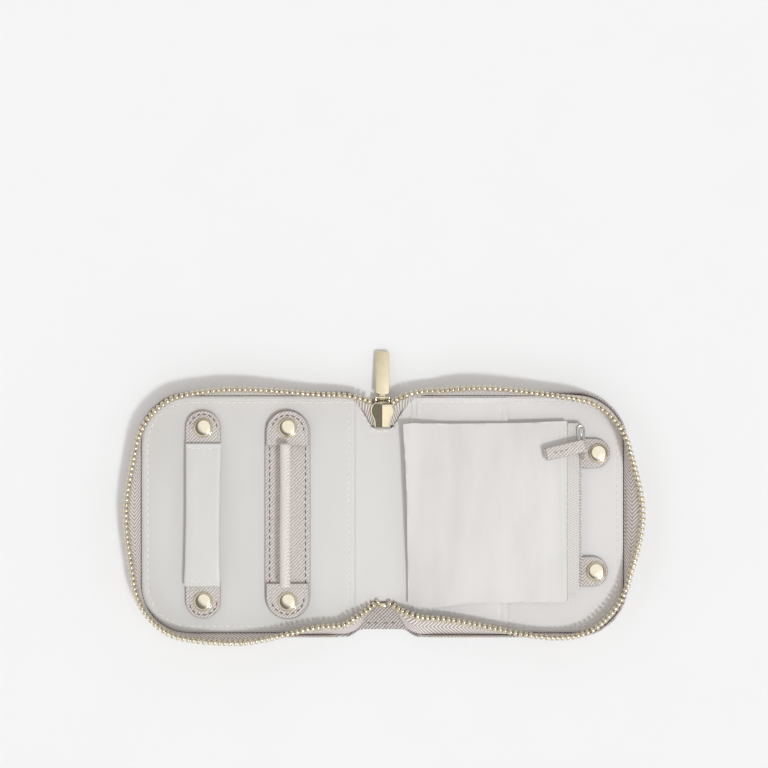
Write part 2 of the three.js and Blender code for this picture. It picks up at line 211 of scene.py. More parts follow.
def smooth_skin(
    name, light, dark, streaks=(0.05, 0.012, 0.05), roughness=0.5, sheen=0.15, grain=0.12, painted_light=None
):
    """Smooth coated lining, with pores that show close up and broad soft streaks of lighter and darker
    colour: changes of tone, and on the pouch painted sheen.

    With a third colour, painted light: the skin slowly turns to it from the left half to the right one, which
    is lit more brightly.
    """
    s = Surface(name)
    place = s.millimetres()
    # lighter and darker streaks along the stretch: tone, and on the pouch painted sheen
    tone_and_sheen = s.noise(s.stretched(place, streaks), 1.0, 3.0)
    colour = s.blend(s.remap(tone_and_sheen, 0.3, 0.7, 0.0, 1.0), light, dark)
    # painted light: the skin turns paler towards the right half
    if painted_light:
        x = s.add("SeparateXYZ", {0: place})
        colour = s.blend(s.remap(x, -LINING_TURN, LINING_TURN, 0.0, 1.0), colour, painted_light)
    pores = s.add("TexVoronoi", {"Vector": place, "Scale": 2.2}, feature="F1")
    fine = s.noise(place, 1.6, 4.0, 0.6)
    gloss = s.remap(fine, 0.3, 0.7, roughness - 0.06, roughness + 0.08)
    normal = s.bump(s.math("MULTIPLY_ADD", fine, 0.6, pores), grain, 0.15)
    s.finish(Sheen_Weight=sheen, Sheen_Roughness=0.4)
    return s.finish(Base_Color=colour, Roughness=gloss, Normal=normal)


def woven_tape(name, light, dark, column=5.4, pitch=1.9):
    """Herringbone tape. Its weave follows the piece's own length and width, kept in the attribute weave."""
    s = Surface(name)
    weave = s.add("Attribute", out=1, attribute_name="weave")
    along, across = (s.add("SeparateXYZ", {0: weave}, out=i) for i in range(2))
    zigzag = s.math("PINGPONG", across, column)
    phase = s.math("MULTIPLY", s.math("MULTIPLY_ADD", zigzag, -0.85, along), 2 * math.pi / pitch)
    ribs = s.math("MULTIPLY_ADD", s.math("SINE", phase), 0.5, 0.5)
    turn = s.remap(s.math("PINGPONG", across, column / 2), 0.0, 0.35, 0.55, 1.0)
    height = s.math("MULTIPLY", ribs, turn)
    fuzz = s.noise(s.millimetres(), 3.0, 3.0, 0.7)
    shade = s.math("MULTIPLY_ADD", fuzz, 0.25, s.math("MULTIPLY", height, 0.75))
    colour = s.blend(s.remap(shade, 0.15, 0.8, 0.0, 1.0), dark, light)
    return s.finish(Base_Color=colour, Roughness=0.85, Normal=s.bump(height, 0.5, 0.2), Sheen_Weight=0.2)


def metal(name, colour, roughness, scratches=0.05):
    s = Surface(name)
    place = s.millimetres()
    smear = s.noise(s.stretched(place, (0.5, 2.6, 0.5)), 1.2, 3.0)
    wear = s.noise(place, 0.35, 2.0)
    tint = s.blend(s.remap(wear, 0.35, 0.75, 0.0, 0.35), colour, darker(colour, 0.82))
    gloss = s.remap(smear, 0.3, 0.7, roughness * 0.8, roughness * 1.3)
    return s.finish(Base_Color=tint, Metallic=1.0, Roughness=gloss, Normal=s.bump(smear, scratches, 0.05))


def sewing_thread(name, colour):
    s = Surface(name)
    twist = s.noise(s.millimetres(), 5.0, 2.0)
    tint = s.blend(s.remap(twist, 0.3, 0.7, 0.0, 0.5), colour, darker(colour, 0.75))
    return s.finish(Base_Color=tint, Roughness=0.7, Sheen_Weight=0.3, Normal=s.bump(twist, 0.4, 0.1))


def matte(name, light, dark, scale, roughness):
    s = Surface(name)
    mottle = s.noise(s.millimetres(), scale, 4.0, 0.6)
    colour = s.blend(s.remap(mottle, 0.35, 0.65, 0.0, 1.0), light, dark)
    return s.finish(Base_Color=colour, Roughness=roughness, Normal=s.bump(mottle, 0.3, 0.1))


COVER = saffiano("grained_cover", srgb(211, 204, 199), srgb(117, 104, 97))
TRIM = saffiano("grained_trim", srgb(224, 217, 212), srgb(168, 157, 151))
# A lighter copy of the trim leather for the raised roll: painted light, as its top catches more light.
LIT_ROLL = saffiano("grained_roll_lit", srgb(236, 230, 225), srgb(208, 199, 193))
# The lining's third colour is painted light, making the right half paler.
LINING = smooth_skin("lining_skin", srgb(220, 218, 215), srgb(215, 213, 210), painted_light=srgb(228, 225, 223))
# The pouch's streaks of lighter and darker colour are painted sheen.
POUCH = smooth_skin(
    "pouch_skin", srgb(226, 223, 220), srgb(216, 213, 210), (0.09, 0.02, 0.09), 0.42, 0.2, 0.09
)
STRAP = smooth_skin(
    "strap_skin", srgb(222, 220, 217), srgb(216, 214, 211), (0.09, 0.03, 0.09), 0.45, 0.2, 0.08
)
TAPE = woven_tape("zip_tape_weave", srgb(236, 229, 225), srgb(160, 148, 142))
POUCH_TAPE = woven_tape("pouch_tape_weave", srgb(234, 230, 226), srgb(204, 198, 193), 1.5, 1.2)
GOLD = metal("pale_gold_polished", srgb(236, 225, 196), 0.14)
SNAP_GOLD = metal("pale_gold_snap", srgb(236, 228, 208), 0.12)
TEETH_GOLD = metal("pale_gold_teeth", srgb(224, 214, 188), 0.22)
BRUSHED_GOLD = metal("pale_gold_satin", srgb(237, 226, 196), 0.4, 0.1)
NICKEL = metal("nickel_polished", srgb(226, 226, 222), 0.15)
WHITE_THREAD = sewing_thread("thread_pale", srgb(250, 248, 245))
DARK_THREAD = sewing_thread("thread_mauve", srgb(112, 98, 92))
BOARD = matte("fibre_board", srgb(150, 143, 136), srgb(122, 115, 108), 1.2, 0.9)
COIL = matte("nylon_coil", srgb(232, 229, 225), srgb(214, 210, 205), 2.0, 0.4)
EDGE_PAINT = matte("edge_paint", srgb(182, 172, 167), srgb(166, 156, 151), 1.5, 0.5)
SLOTS = {COVER: "cover_leather", TRIM: "cover_leather", LIT_ROLL: "cover_leather", LINING: "lining",
         POUCH: "pale_skin", STRAP: "pale_skin", TAPE: "zip_tape", POUCH_TAPE: "zip_tape", COIL: "coil",
         NICKEL: "nickel", GOLD: "pale_gold", SNAP_GOLD: "pale_gold", TEETH_GOLD: "pale_gold",
         BRUSHED_GOLD: "pale_gold", WHITE_THREAD: "lining", DARK_THREAD: "cover_leather"}


# ---- Mesh helpers ----


def piece(name, verts, faces, material, body, sharp=40.0, slot=None):
    """An object from points in millimetres, shaded smooth but for edges sharper than an angle in degrees."""
    mesh = bpy.data.meshes.new(name)
    mesh.from_pydata([tuple(c * MM for c in v) for v in verts], [], faces)
    shape = bmesh.new()
    shape.from_mesh(mesh)
    bmesh.ops.recalc_face_normals(shape, faces=shape.faces)
    shape.to_mesh(mesh)
    shape.free()
    mesh.shade_smooth()
    mesh.set_sharp_from_angle(angle=math.radians(sharp))
    mesh.materials.append(material)
    obj = bpy.data.objects.new(name, mesh)
    scene.collection.objects.link(obj)
    if body:
        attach(obj, body)
    slot or SLOTS[material]
    return obj


def loft(rings, closed=True, caps=True):
    """Vertices and faces through rings of points. A ring that isn't closed gives an open sheet."""
    count = len(rings[0])
    verts = [p for ring in rings for p in ring]
    faces = []
    for k in range(len(rings) - 1):
        for i in range(count if closed else count - 1):
            j = (i + 1) % count
            faces.append((k * count + i, k * count + j, (k + 1) * count + j, (k + 1) * count + i))
    if closed and caps:
        faces.append(tuple(range(count))[::-1])
        faces.append(tuple((len(rings) - 1) * count + i for i in range(count)))
    return verts, faces


def slab(xs, ys_at, top, bottom):
    """A thin closed panel. Each x has its own list of y, and top and bottom give the heights there."""
    rings = []
    for x in xs:
        ys = ys_at(x)
        rings.append([(x, y, top(x, y)) for y in ys] + [(x, y, bottom(x, y)) for y in reversed(ys)])
    verts, faces = loft(rings, caps=False)
    count = len(rings[0])
    for base in (0, (len(rings) - 1) * count):
        for i in range(count // 2 - 1):
            faces.append((base + i, base + i + 1, base + count - 2 - i, base + count - 1 - i))
    return verts, faces


def between(low, high, step):
    """Evenly spaced values from low to high, no further apart than step."""
    count = max(1, math.ceil((high - low) / step))
    return [low + (high - low) * i / count for i in range(count + 1)]


NEAR_EDGE = (0.0, 0.25, 0.55, 0.9, 1.4, 2.0, 2.45, 2.75, 3.0, 3.25, 3.55, 4.1, 5.2)


def across_panel(edge_at, inner=44):
    """Y values across a panel: fixed distances in from both edges, and then a fixed number between."""
    near = [edge_at(d) for d in NEAR_EDGE]
    last = near[-1]
    return [-y for y in near] + [last * (2 * k / inner - 1) for k in range(1, inner)] + near[::-1]


def tube(points, radius, sides=8, flat=1.0):
    """A closed tube along points. radius may be a list, and flat squeezes its height."""
    rings = []
    for i, p in enumerate(points):
        ahead = points[min(i + 1, len(points) - 1)] - points[max(i - 1, 0)]
        along = ahead.normalized()
        side = along.cross(Vector((0, 0, 1)))
        side = side.normalized() if side.length > 1e-4 else Vector((1, 0, 0))
        up = side.cross(along)
        r = radius[i] if isinstance(radius, (list, tuple)) else radius
        turns = [2 * math.pi * k / sides for k in range(sides)]
        rings.append([p + side * (r * math.cos(a)) + up * (r * flat * math.sin(a)) for a in turns])
    return loft(rings)


def merged(shapes):
    """Several vertex and face lists as one."""
    verts, faces = [], []
    for more_verts, more_faces in shapes:
        start = len(verts)
        verts.extend(more_verts)
        faces.extend(tuple(start + i for i in face) for face in more_faces)
    return verts, faces


def resampled(points, step):
    """Points at an even spacing along a polyline of vectors."""
    out, left = [points[0].copy()], step
    for a, b in zip(points, points[1:]):
        length = (b - a).length
        while length >= left > 0:
            out.append(a.lerp(b, left / length))
            left += step
        left -= length
    return out


STITCH = ((-0.5, 0.25), (-0.36, 0.9), (0, 1.0), (0.36, 0.9), (0.5, 0.25))  # shares of length and of radius
STITCH_SINK = 1.3  # how many radii the ends of a stitch sink


def stitches(path, lift=0.0, pitch=3.4, length=2.5, radius=0.31):
    """Short capsules of thread along a path of vectors, with sunk ends."""
    shapes = []
    marks = resampled(path, pitch)
    for a, b in zip(marks, marks[1:]):
        along = (b - a).normalized()
        along.rotate(Matrix.Rotation(math.radians(dice.uniform(-4, 4)), 3, "Z"))
        middle = (a + b) / 2 + Vector((0, 0, lift))
        points = []
        for s, _ in STITCH:
            sunk = Vector((0, 0, radius * STITCH_SINK * abs(2 * s) ** 3))
            points.append(middle + along * (length * s) - sunk)
        shapes.append(tube(points, [radius * r for _, r in STITCH], 6))
    return merged(shapes)


ROUNDING = ((1.0, 0.0), (0.55, 0.1), (0.15, 0.45), (0.0, 1.0))  # shares of the radius: inwards and up
CHANNEL = ((-0.6, 0), (-0.3, 0.06), (-0.1, 0.2), (0.1, 0.2), (0.3, 0.06), (0.6, 0))  # across it, and depth


def plate(name, outline, low, high, radius, materials, body, groove=None):
    """A flat part with rounded edges, seen from above by its outline.

    groove is how far in from the edge a sewn channel runs in its top. A second material covers the edges.
    """
    levels = [(radius * i, low + radius * u) for i, u in ROUNDING]
    levels += [(radius * i, high - radius * u) for i, u in reversed(ROUNDING)]
    edge_rings = len(levels) - 1
    if groove:
        levels += [(groove + i, high - d) for i, d in CHANNEL]
    rings = [[(x, y, z) for x, y in shrunk(outline, inset)] for inset, z in levels]
    verts, faces = loft(rings)
    obj = piece(name, verts, faces, materials[0], body, 50)
    if len(materials) > 1:
        obj.data.materials.append(materials[1])
        for k, polygon in enumerate(obj.data.polygons):
            polygon.material_index = int(k < edge_rings * len(outline))
    return obj


def trim_plate(name, outline, low, high, body, radius=0.4, groove=None):
    """A piece of grained trim leather with painted edges."""
    return plate(name, outline, low, high, radius, [TRIM, EDGE_PAINT], body, groove)


def turning(outline):
    """1 for an outline that runs anticlockwise, and -1 for one that runs clockwise."""
    pairs = zip(outline, outline[1:] + outline[:1])
    return math.copysign(1, sum(x0 * y1 - x1 * y0 for (x0, y0), (x1, y1) in pairs))


def shrunk(outline, by):
    """The outline moved in by a distance."""
    out = []
    turn = turning(outline)
    for i, (x, y) in enumerate(outline):
        here = Vector((x, y))
        a = (here - Vector(outline[i - 1])).normalized()
        b = (Vector(outline[(i + 1) % len(outline)]) - here).normalized()
        inward = Vector((-a.y - b.y, a.x + b.x)).normalized() * turn
        out.append(tuple(here + inward * (by / max(0.5, math.sqrt(max(0.0, 0.5 + 0.5 * a.dot(b)))))))
    return out


def arc(x, y, radius, start, end, steps=14):
    """Points on an arc, angles in degrees."""
    return [
        (x + radius * math.cos(math.radians(start + (end - start) * i / steps)),
         y + radius * math.sin(math.radians(start + (end - start) * i / steps)))
        for i in range(steps + 1)
    ]


def lathe(profile, x, y, z, sides=40):
    """A turned part standing at x, y, z, from (radius, height) pairs that start and end on the axis."""
    rings = []
    for r, h in profile[1:-1]:
        turns = [2 * math.pi * k / sides for k in range(sides)]
        rings.append([(x + r * math.cos(a), y + r * math.sin(a), z + h) for a in turns])
    verts, faces = loft(rings, caps=False)
    count = len(rings) * sides
    verts += [(x, y, z + profile[0][1]), (x, y, z + profile[-1][1])]
    for k in range(sides):
        faces.append((count, (k + 1) % sides, k))
        faces.append((count + 1, count - sides + k, count - sides + (k + 1) % sides))
    return verts, faces


# ---- Camera, light and floor ----

FOCAL_LENGTH = 2031.0 / 768  # in image widths
CAMERA_AT = (0.0008, 0.0640, 1.0)
SUN_STRENGTH = 1.22
SUN_COLOUR = (0.96, 1.0, 1.03)
SUN_ANGLE = 8  # degrees, for the softness of its shadows
ROOM_LEVEL = 0.86  # the studio's low walls
ROOM_COLOUR = (1.0, 0.98, 0.965, 1.0)
CEILING = Vector((0.13, 0.14, 1.0)).normalized()
KEY = Vector((0.40, -0.44, 1.0)).normalized()
# Round patches of the studio: direction, added light, and the angles from it in degrees where it starts to
# fade and where it ends. The first darkens a wide ring, of which the second makes the middle bright.
PATCHES = ((CEILING, -0.66, 38, 56), (CEILING, 0.9, 20, 27), (KEY, 0.5, 10, 24))
FLOOR_REACH = 3000
FLOOR_Z = -0.05


def camera():
    data = bpy.data.cameras.new("camera")
    data.lens = FOCAL_LENGTH * data.sensor_width
    obj = bpy.data.objects.new("camera", data)
    obj.location = CAMERA_AT
    scene.collection.objects.link(obj)
    scene.camera = obj


def lights():
    """A soft key light from the lower right, and a studio with a bright ceiling."""
    sun = bpy.data.objects.new("soft_sun", bpy.data.lights.new("soft_sun", "SUN"))
    sun.data.energy = SUN_STRENGTH
    sun.data.angle = math.radians(SUN_ANGLE)
    sun.data.color = SUN_COLOUR
    sun.rotation_euler = KEY.to_track_quat("Z", "Y").to_euler()
    scene.collection.objects.link(sun)
    world = bpy.data.worlds.new("studio")
    world.use_nodes = True
    nodes, links = world.node_tree.nodes, world.node_tree.links
    place = nodes.new("ShaderNodeTexCoord").outputs["Generated"]
    level = ROOM_LEVEL
    for direction, gain, narrow, wide in PATCHES:
        toward = nodes.new("ShaderNodeVectorMath")
        toward.operation = "DOT_PRODUCT"
        links.new(place, toward.inputs[0])
        toward.inputs[1].default_value = direction
        ease = nodes.new("ShaderNodeMapRange")
        ease.interpolation_type = "SMOOTHSTEP"
        links.new(toward.outputs["Value"], ease.inputs["Value"])
        ease.inputs["From Min"].default_value = math.cos(math.radians(wide))
        ease.inputs["From Max"].default_value = math.cos(math.radians(narrow))
        ease.inputs["To Max"].default_value = gain
        total = nodes.new("ShaderNodeMath")
        links.new(ease.outputs["Result"], total.inputs[0])
        if isinstance(level, float):
            total.inputs[1].default_value = level
        else:
            links.new(level, total.inputs[1])
        level = total.outputs["Value"]
    links.new(level, nodes["Background"].inputs["Strength"])
    nodes["Background"].inputs["Color"].default_value = ROOM_COLOUR
    scene.world = world
    scene.view_settings.view_transform = "Standard"


def floor():
    verts = [(x * FLOOR_REACH, y * FLOOR_REACH, FLOOR_Z) for x, y in ((-1, -1), (1, -1), (1, 1), (-1, 1))]
    mesh = bpy.data.meshes.new("floor")
    mesh.from_pydata([tuple(c * MM for c in v) for v in verts], [], [(0, 1, 2, 3)])
    mesh.materials.append(matte("pale_floor", srgb(245, 245, 245), srgb(244, 244, 244), 0.02, 0.9))
    obj = bpy.data.objects.new("floor", mesh)
    scene.collection.objects.link(obj)


# ---- Cover: a shallow leather tray for each half, and a strip over each fold ----


def perimeter(inset, start):
    """Points round the edge of the right half, from the fold's top end round to its bottom end."""
    x, y, r = HALF_X - inset, HALF_Y - inset, CORNER_R - inset
    top = [(start + (x - r - start) * i / 30, y) for i in range(30)]
    side = [(x, (y - r) * (1 - 2 * i / 26)) for i in range(1, 26)]
    bottom = [(px, -py) for px, py in reversed(top)]
    return top + arc(x - r, y - r, r, 90, 0, 18) + side + arc(x - r, r - y, r, 0, -90, 18) + bottom


# The rim in section, from inside over its top to the underside: distance in from the edge, and height.
RIM = ((1.25, 1.0), (1.15, 3.5), (0.95, 4.0), (0.6, 4.2), (0.2, 4.0), (0.0, 3.5), (0.0, 1.7), (0.3, 0.7),
       (0.9, 0.15), (1.8, 0.0))


def cover_half(name, side):
    rings = []
    for inset, z in RIM:
        ring = []
        for x, y in perimeter(inset, STRIP_X):
            height = z if z <= SKIN_T else SKIN_T + (z - SKIN_T) * smoothstep(STRIP_X, 26, x)
            ring.append((side * x, y, height))
        rings.append(ring)
    verts, faces = loft(rings, closed=False)
    count = len(rings[0])
    last = (len(rings) - 1) * count
    faces.append(tuple(range(count)))
    faces.append(tuple(last + i for i in range(count)))
    starts = [k * count for k in range(len(rings))]
    ends = [k * count + count - 1 for k in range(len(rings))]
    faces.append(tuple(starts + ends[::-1]))
    skin = piece(f"{name}_cover_skin", verts, faces, COVER, f"{name}_half")
    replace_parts(skin, f"{name}_cover")


# The row of stitches across the cover at the low end of the spine.
END_SEAM_Y = 53.5
END_SEAM_X = 8.6


STRIP_WIDENS_X = 9.4  # from here the strip widens from the spine's length to the half's
STRIP_ROUND = 0.3  # how far its long edges are rounded


def cover_strip(name, side):
    """The leather from the middle of the spine over one fold to the stiff half."""
    def reach(x):
        return SPINE_Y + (HALF_Y - SPINE_Y) * smoothstep(STRIP_WIDENS_X, STRIP_X, abs(x))

    def ys(x):
        y = reach(x)
        return [-y, STRIP_ROUND - y] + between(1 - y, y - 1, 2.2) + [y - STRIP_ROUND, y]

    def drop(x, y):
        return STRIP_ROUND * (1 - smoothstep(0, 0.35, reach(x) - abs(y)))

    xs = [side * x for x in between(0, 11, 2.2) + between(11, STRIP_X, 0.5)[1:]]
    verts, faces = slab(xs, ys, lambda x, y: SKIN_T - drop(x, y), lambda x, y: drop(x, y))
    strip = piece(f"spine_skin_{name}", verts, faces, COVER, None)
    across_fold(strip, side)
    row = [Vector((x, -END_SEAM_Y, SKIN_T + 0.02)) for x in between(*sorted((0, side * END_SEAM_X)), 2.0)]
    thread = stitches(row, 0.0, 3.45, 2.4, 0.28)
    piece(f"spine_end_stitches_{name}", *thread, DARK_THREAD, "spine")
    return strip


def across_fold(obj, side):
    """Bakes a sheet's transform into its mesh, the same for either side."""
    if side < 0:
        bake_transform(obj)
    else:
        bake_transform(obj)


# ---- Lining ----


LINING_CORNER = CORNER_R - (HALF_X - LINING_X)
NOTCH_WIDE = 12.7  # where the notch meets the lining's long edge
NOTCH_DROP = 2.0  # how far the long edge has come in where the notch starts
NOTCH_RISE = (LINING_Y - NOTCH_DROP - NOTCH_Y) / (NOTCH_WIDE - NOTCH_X)


def lining_edge(x, inset):
    """Y of the line that runs a distance inside the lining's edge, at x from the middle of the spine."""
    corner_x, corner_y = LINING_X - LINING_CORNER, LINING_Y - LINING_CORNER
    if x > corner_x:
        r, dx = LINING_CORNER - inset, x - corner_x
        return corner_y + math.sqrt(max(0.0, r * r - dx * dx)) - 2 * max(0.0, dx - r)
    if x > NOTCH_WIDE:
        return LINING_Y - inset - NOTCH_DROP * (1 - smoothstep(NOTCH_WIDE, 16.0, x))
    slant = NOTCH_Y + NOTCH_RISE * (x - NOTCH_X) - inset * math.hypot(1, NOTCH_RISE)
    return max(NOTCH_Y - inset, slant)


def edge_distance(x, y):
    """How far a point of the lining lies from its outer edge."""
    dx, dy = x - (LINING_X - LINING_CORNER), abs(y) - (LINING_Y - LINING_CORNER)
    if dx > 0 and dy > 0:
        return LINING_CORNER - math.hypot(dx, dy)
    if x < NOTCH_WIDE:
        slant = NOTCH_Y + NOTCH_RISE * (x - NOTCH_X) - abs(y)
        return max(NOTCH_Y - abs(y), slant / math.hypot(1, NOTCH_RISE))
    return min(LINING_X - x, lining_edge(x, 0) - abs(y))


SEAM_IN = 3.0  # lining edge to its row of stitches
CREASE_X = 13.9
FOLD_SEAM = {"left": 16.4, "right": 18.6}


def lining(name, side):
    seam_x = FOLD_SEAM[name]

    def top(px, y):
        x = abs(px)
        d = edge_distance(x, y)
        z = INSIDE_Z + 0.1 * wobble(px, y, 26, side) + 0.05 * wobble(px, y, 9, side + 5)
        z -= 0.5 * (1 - smoothstep(0, 1.0, d)) + 0.08 * bump_at(d, SEAM_IN, 0.6)
        if name == "left":
            z -= 0.12 * bump_at(x, seam_x, 0.5)
        return z - 0.55 * bump_at(x, CREASE_X, 0.55) + 0.14 * bump_at(x, CREASE_X, 2.4)

    def ys(px):
        return across_panel(lambda inset: lining_edge(abs(px), inset), 60)

    fold = between(0, 11, 1.0) + between(11, 20, 0.35)[1:]
    flat = between(20, LINING_X - LINING_CORNER, 2.2)[1:]
    corner = between(LINING_X - LINING_CORNER, LINING_X - NEAR_EDGE[-1], 0.9)[1:]
    xs = [side * x for x in fold + flat + corner + [LINING_X - d for d in NEAR_EDGE[-2::-1]]]
    verts, faces = slab(xs, ys, top, lambda px, y: INSIDE_Z - LINING_T - 0.02)
    sheet = piece(f"{name}_lining_skin", verts, faces, LINING, None, 60)
    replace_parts(sheet, f"{name}_lining")
    across_fold(sheet, side)
    rows = lining_seams(name, side)
    seam = piece(f"{name}_lining_stitches", *merged(rows), WHITE_THREAD, None)
    across_fold(seam, side)


def lining_seams(name, side):
    """The rows of stitches in one half of the lining."""
    lift = INSIDE_Z + 0.08
    inset = HALF_X - LINING_X + SEAM_IN
    around = [Vector((side * x, y, lift)) for x, y in perimeter(inset, 13.6)]
    rows = [stitches(around)]
    for end in (1, -1):
        notch = [(0, NOTCH_Y - SEAM_IN * 0.55), (NOTCH_X - 1.0, NOTCH_Y - SEAM_IN * 0.55), (11.6, 52.2)]
        rows.append(stitches([Vector((side * x, end * y, lift)) for x, y in notch]))
    if name == "left":
        x = -FOLD_SEAM[name]
        rows.append(stitches([Vector((x, 50.5, lift)), Vector((x, -50.5, lift))], pitch=3.0, length=2.1))
    return rows


# ---- Zip walls: woven tape from the foot of each wall up to the teeth ----

# By the share of the way round from the top end of the spine to the bottom end: how far the row of teeth
# stands out past the foot of the wall, and how high its top is. Parts of it are lower than the frame's walls.
WALL_STATIONS = {
    "left": ((0, -0.2, 10.9), (0.17, 2.8, ROW_TOP), (0.32, -1.4, ROW_TOP), (0.5, 6.0, 13.28),
             (0.68, 0.2, 13.4), (0.82, 3.6, 12.6), (1, -4.9, 9.9)),
    "right": ((0, 1.8, 10.9), (0.09, 3.4, ROW_TOP), (0.31, -2.9, ROW_TOP), (0.5, 8.0, 11.88),
              (0.68, -2.6, 11.4), (0.775, 1.0, 11.4), (1, -8.6, 9.7)),
}
# Between the stiff wall and the slider or the stop, the foot of the tape follows the notch in the lining
# while the teeth come down to the channel. Each point on the foot has one on the row of teeth.
TOP_FEET = ((5.4, 43.6, 1.8), (7.4, 47.2, 2.0), (9.6, 51.2, 2.4), (14.6, 56.4, 2.6))
TOP_ROWS = {
    "left": ((1.5, 45.0, 6.1), (2.4, 50.0, 6.1), (4.4, 54.6, 6.5), (10.9, 57.1, 9.4)),
    "right": ((1.5, 45.0, 6.1), (2.4, 50.0, 6.1), (4.7, 54.8, 6.5), (10.7, 58.3, 9.4)),
}
BOTTOM_FEET = ((15.3, -57.6, 2.2), (11.2, -54.6, 1.9), (8.2, -49.6, 1.6), (4.4, -45.4, 1.5))
BOTTOM_ROWS = {
    "left": ((14.6, -50.9, 8.8), (9.3, -47.6, 6.6), (4.8, -44.6, 4.9), (1.7, -42.4, 3.6)),
    "right": ((14.6, -48.6, 8.8), (9.6, -46.6, 6.6), (4.8, -44.0, 4.9), (1.7, -42.2, 3.6)),
}
ROW_H = 3.0
TAPE_T = 0.6
TOOTH_PITCH = 2.56


def foot_at(s):
    """The point a distance s along the foot of the right wall, and the direction out from there."""
    x, y, r = HALF_X - TAPE_INSET, HALF_Y - TAPE_INSET, CORNER_R - TAPE_INSET
    straight, quarter, side = x - r - WALL_START, r * math.pi / 2, 2 * (y - r)
    if s < straight:
        return Vector((WALL_START + s, y, 0)), Vector((0, 1, 0))
    s -= straight
    if s < quarter:
        out = Vector((math.sin(s / r), math.cos(s / r), 0))
        return Vector((x - r, y - r, 0)) + out * r, out
    s -= quarter
    if s < side:
        return Vector((x, y - r - s, 0)), Vector((1, 0, 0))
    s -= side
    if s < quarter:
        out = Vector((math.cos(s / r), -math.sin(s / r), 0))
        return Vector((x - r, r - y, 0)) + out * r, out
    return Vector((x - r - (s - quarter), -y, 0)), Vector((0, -1, 0))


def foot_length():
    x, y, r = HALF_X - TAPE_INSET, HALF_Y - TAPE_INSET, CORNER_R - TAPE_INSET
    return 2 * (x - r - WALL_START) + r * math.pi + 2 * (y - r)


def station(stations, t, eased=True):
    """The values at t of a list of stations that each start with their own t."""
    for (t0, *a), (t1, *b) in zip(stations, stations[1:]):
        if t <= t1:
            w = smoothstep(t0, t1, t) if eased else (t - t0) / (t1 - t0)
            return [p + (q - p) * w for p, q in zip(a, b)]
    return list(stations[-1][1:])


def catmull(points, per_span=12):
    """A smooth curve through points that are tuples of any length."""
    out = []
    padded = [points[0], *points, points[-1]]
    for a, b, c, d in zip(padded, padded[1:], padded[2:], padded[3:]):
        for i in range(per_span):
            t = i / per_span
            point = []
            for p, q, r, s in zip(a, b, c, d):
                square, cube = 2 * p - 5 * q + 4 * r - s, 3 * q - p - 3 * r + s
                point.append(0.5 * (2 * q + (r - p) * t + square * t * t + cube * t**3))
            out.append(tuple(point))
    out.append(tuple(points[-1]))
    return out


TAPE_STEP = 0.8
FOOT_Z = 1.9
TEETH_PER_STEP = 4  # points on the line that the teeth follow, for each point of the tape's


def wall_line(name, side, step=TAPE_STEP):
    """Matching points on the foot and on the row of teeth, evenly spaced along the row."""
    total = foot_length()
    stations = []
    for i in range(33):
        t = i / 32
        foot, out = foot_at(t * total)
        flare, top = station(WALL_STATIONS[name], t)
        row = foot + out * flare
        stations.append((foot.x, foot.y, FOOT_Z, row.x, row.y, top - ROW_H / 2))
    lead = [foot + row for foot, row in zip(TOP_FEET, TOP_ROWS[name])]
    tail = [foot + row for foot, row in zip(BOTTOM_FEET, BOTTOM_ROWS[name])]
    dense = catmull(lead + stations + tail)
    line, left = [], 0.0
    for a, b in zip(dense, dense[1:]):
        length = math.dist(a[3:], b[3:])
        while left < length:
            p = [u + (v - u) * left / length for u, v in zip(a, b)]
            line.append((Vector((side * p[0], p[1], p[2])), Vector((side * p[3], p[4], p[5]))))
            left += step
        left -= length
    return line


def wall_frame(line, i):
    """At point i of a wall: along the row, up the tape at its top, and across the tape, all unit vectors."""
    along = (line[min(i + 2, len(line) - 1)][1] - line[max(i - 2, 0)][1]).normalized()
    foot, row = line[i]
    knee = foot.lerp(row, 0.42) + Vector((0, 0, 0.16 * (row - foot).length))
    up = row - knee
    up = (up - along * up.dot(along)).normalized()
    return along, up, along.cross(up).normalized(), knee


def zip_wall(name, side):
    line = wall_line(name, side)
    steps = 10
    rings, weave = [], []
    for i, (foot, row) in enumerate(line):
        _, up, across, knee = wall_frame(line, i)
        end = row - up * 0.7
        curve = []
        for k in range(steps + 1):
            t = k / steps
            curve.append(foot * (1 - t) ** 2 + knee * (2 * t * (1 - t)) + end * t * t)
        half = across * (TAPE_T / 2)
        ring = [p + half for p in curve] + [p - half for p in reversed(curve)]
        height = (end - foot).length
        marks = [height * k / steps for k in range(steps + 1)]
        rings.append(ring)
        weave.extend((i * TAPE_STEP, h, 0.0) for h in marks + marks[::-1])
    tape = piece(f"{name}_tape", *loft(rings), TAPE, None, 60)
    attribute = tape.data.attributes.new("weave", "FLOAT_VECTOR", "POINT")
    attribute.data.foreach_set("vector", [c for w in weave for c in w])
    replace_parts(tape, f"{name}_zip_tape", "zip_end_top" if side > 0 else "zip_end_bottom")
    across_fold(tape, side)
    zip_teeth(name, side, wall_line(name, side, TAPE_STEP / TEETH_PER_STEP))


# Half of one tooth seen along the zip: a leg that grips the tape below, and a rounded head above.
HALF_TOOTH = ((0.35, -1.15), (0.5, -1.75), (1.0, -1.8), (1.3, -1.2), (1.45, -0.1), (1.3, 0.7), (0.8, 1.2),
              (0.25, 1.42))
TOOTH = [(-u, v) for u, v in HALF_TOOTH] + [*reversed(HALF_TOOTH)]
TOOTH_SLICES = ((-0.88, 0.72), (-0.72, 0.93), (-0.35, 1.02), (0.35, 1.02), (0.72, 0.93), (0.88, 0.72))


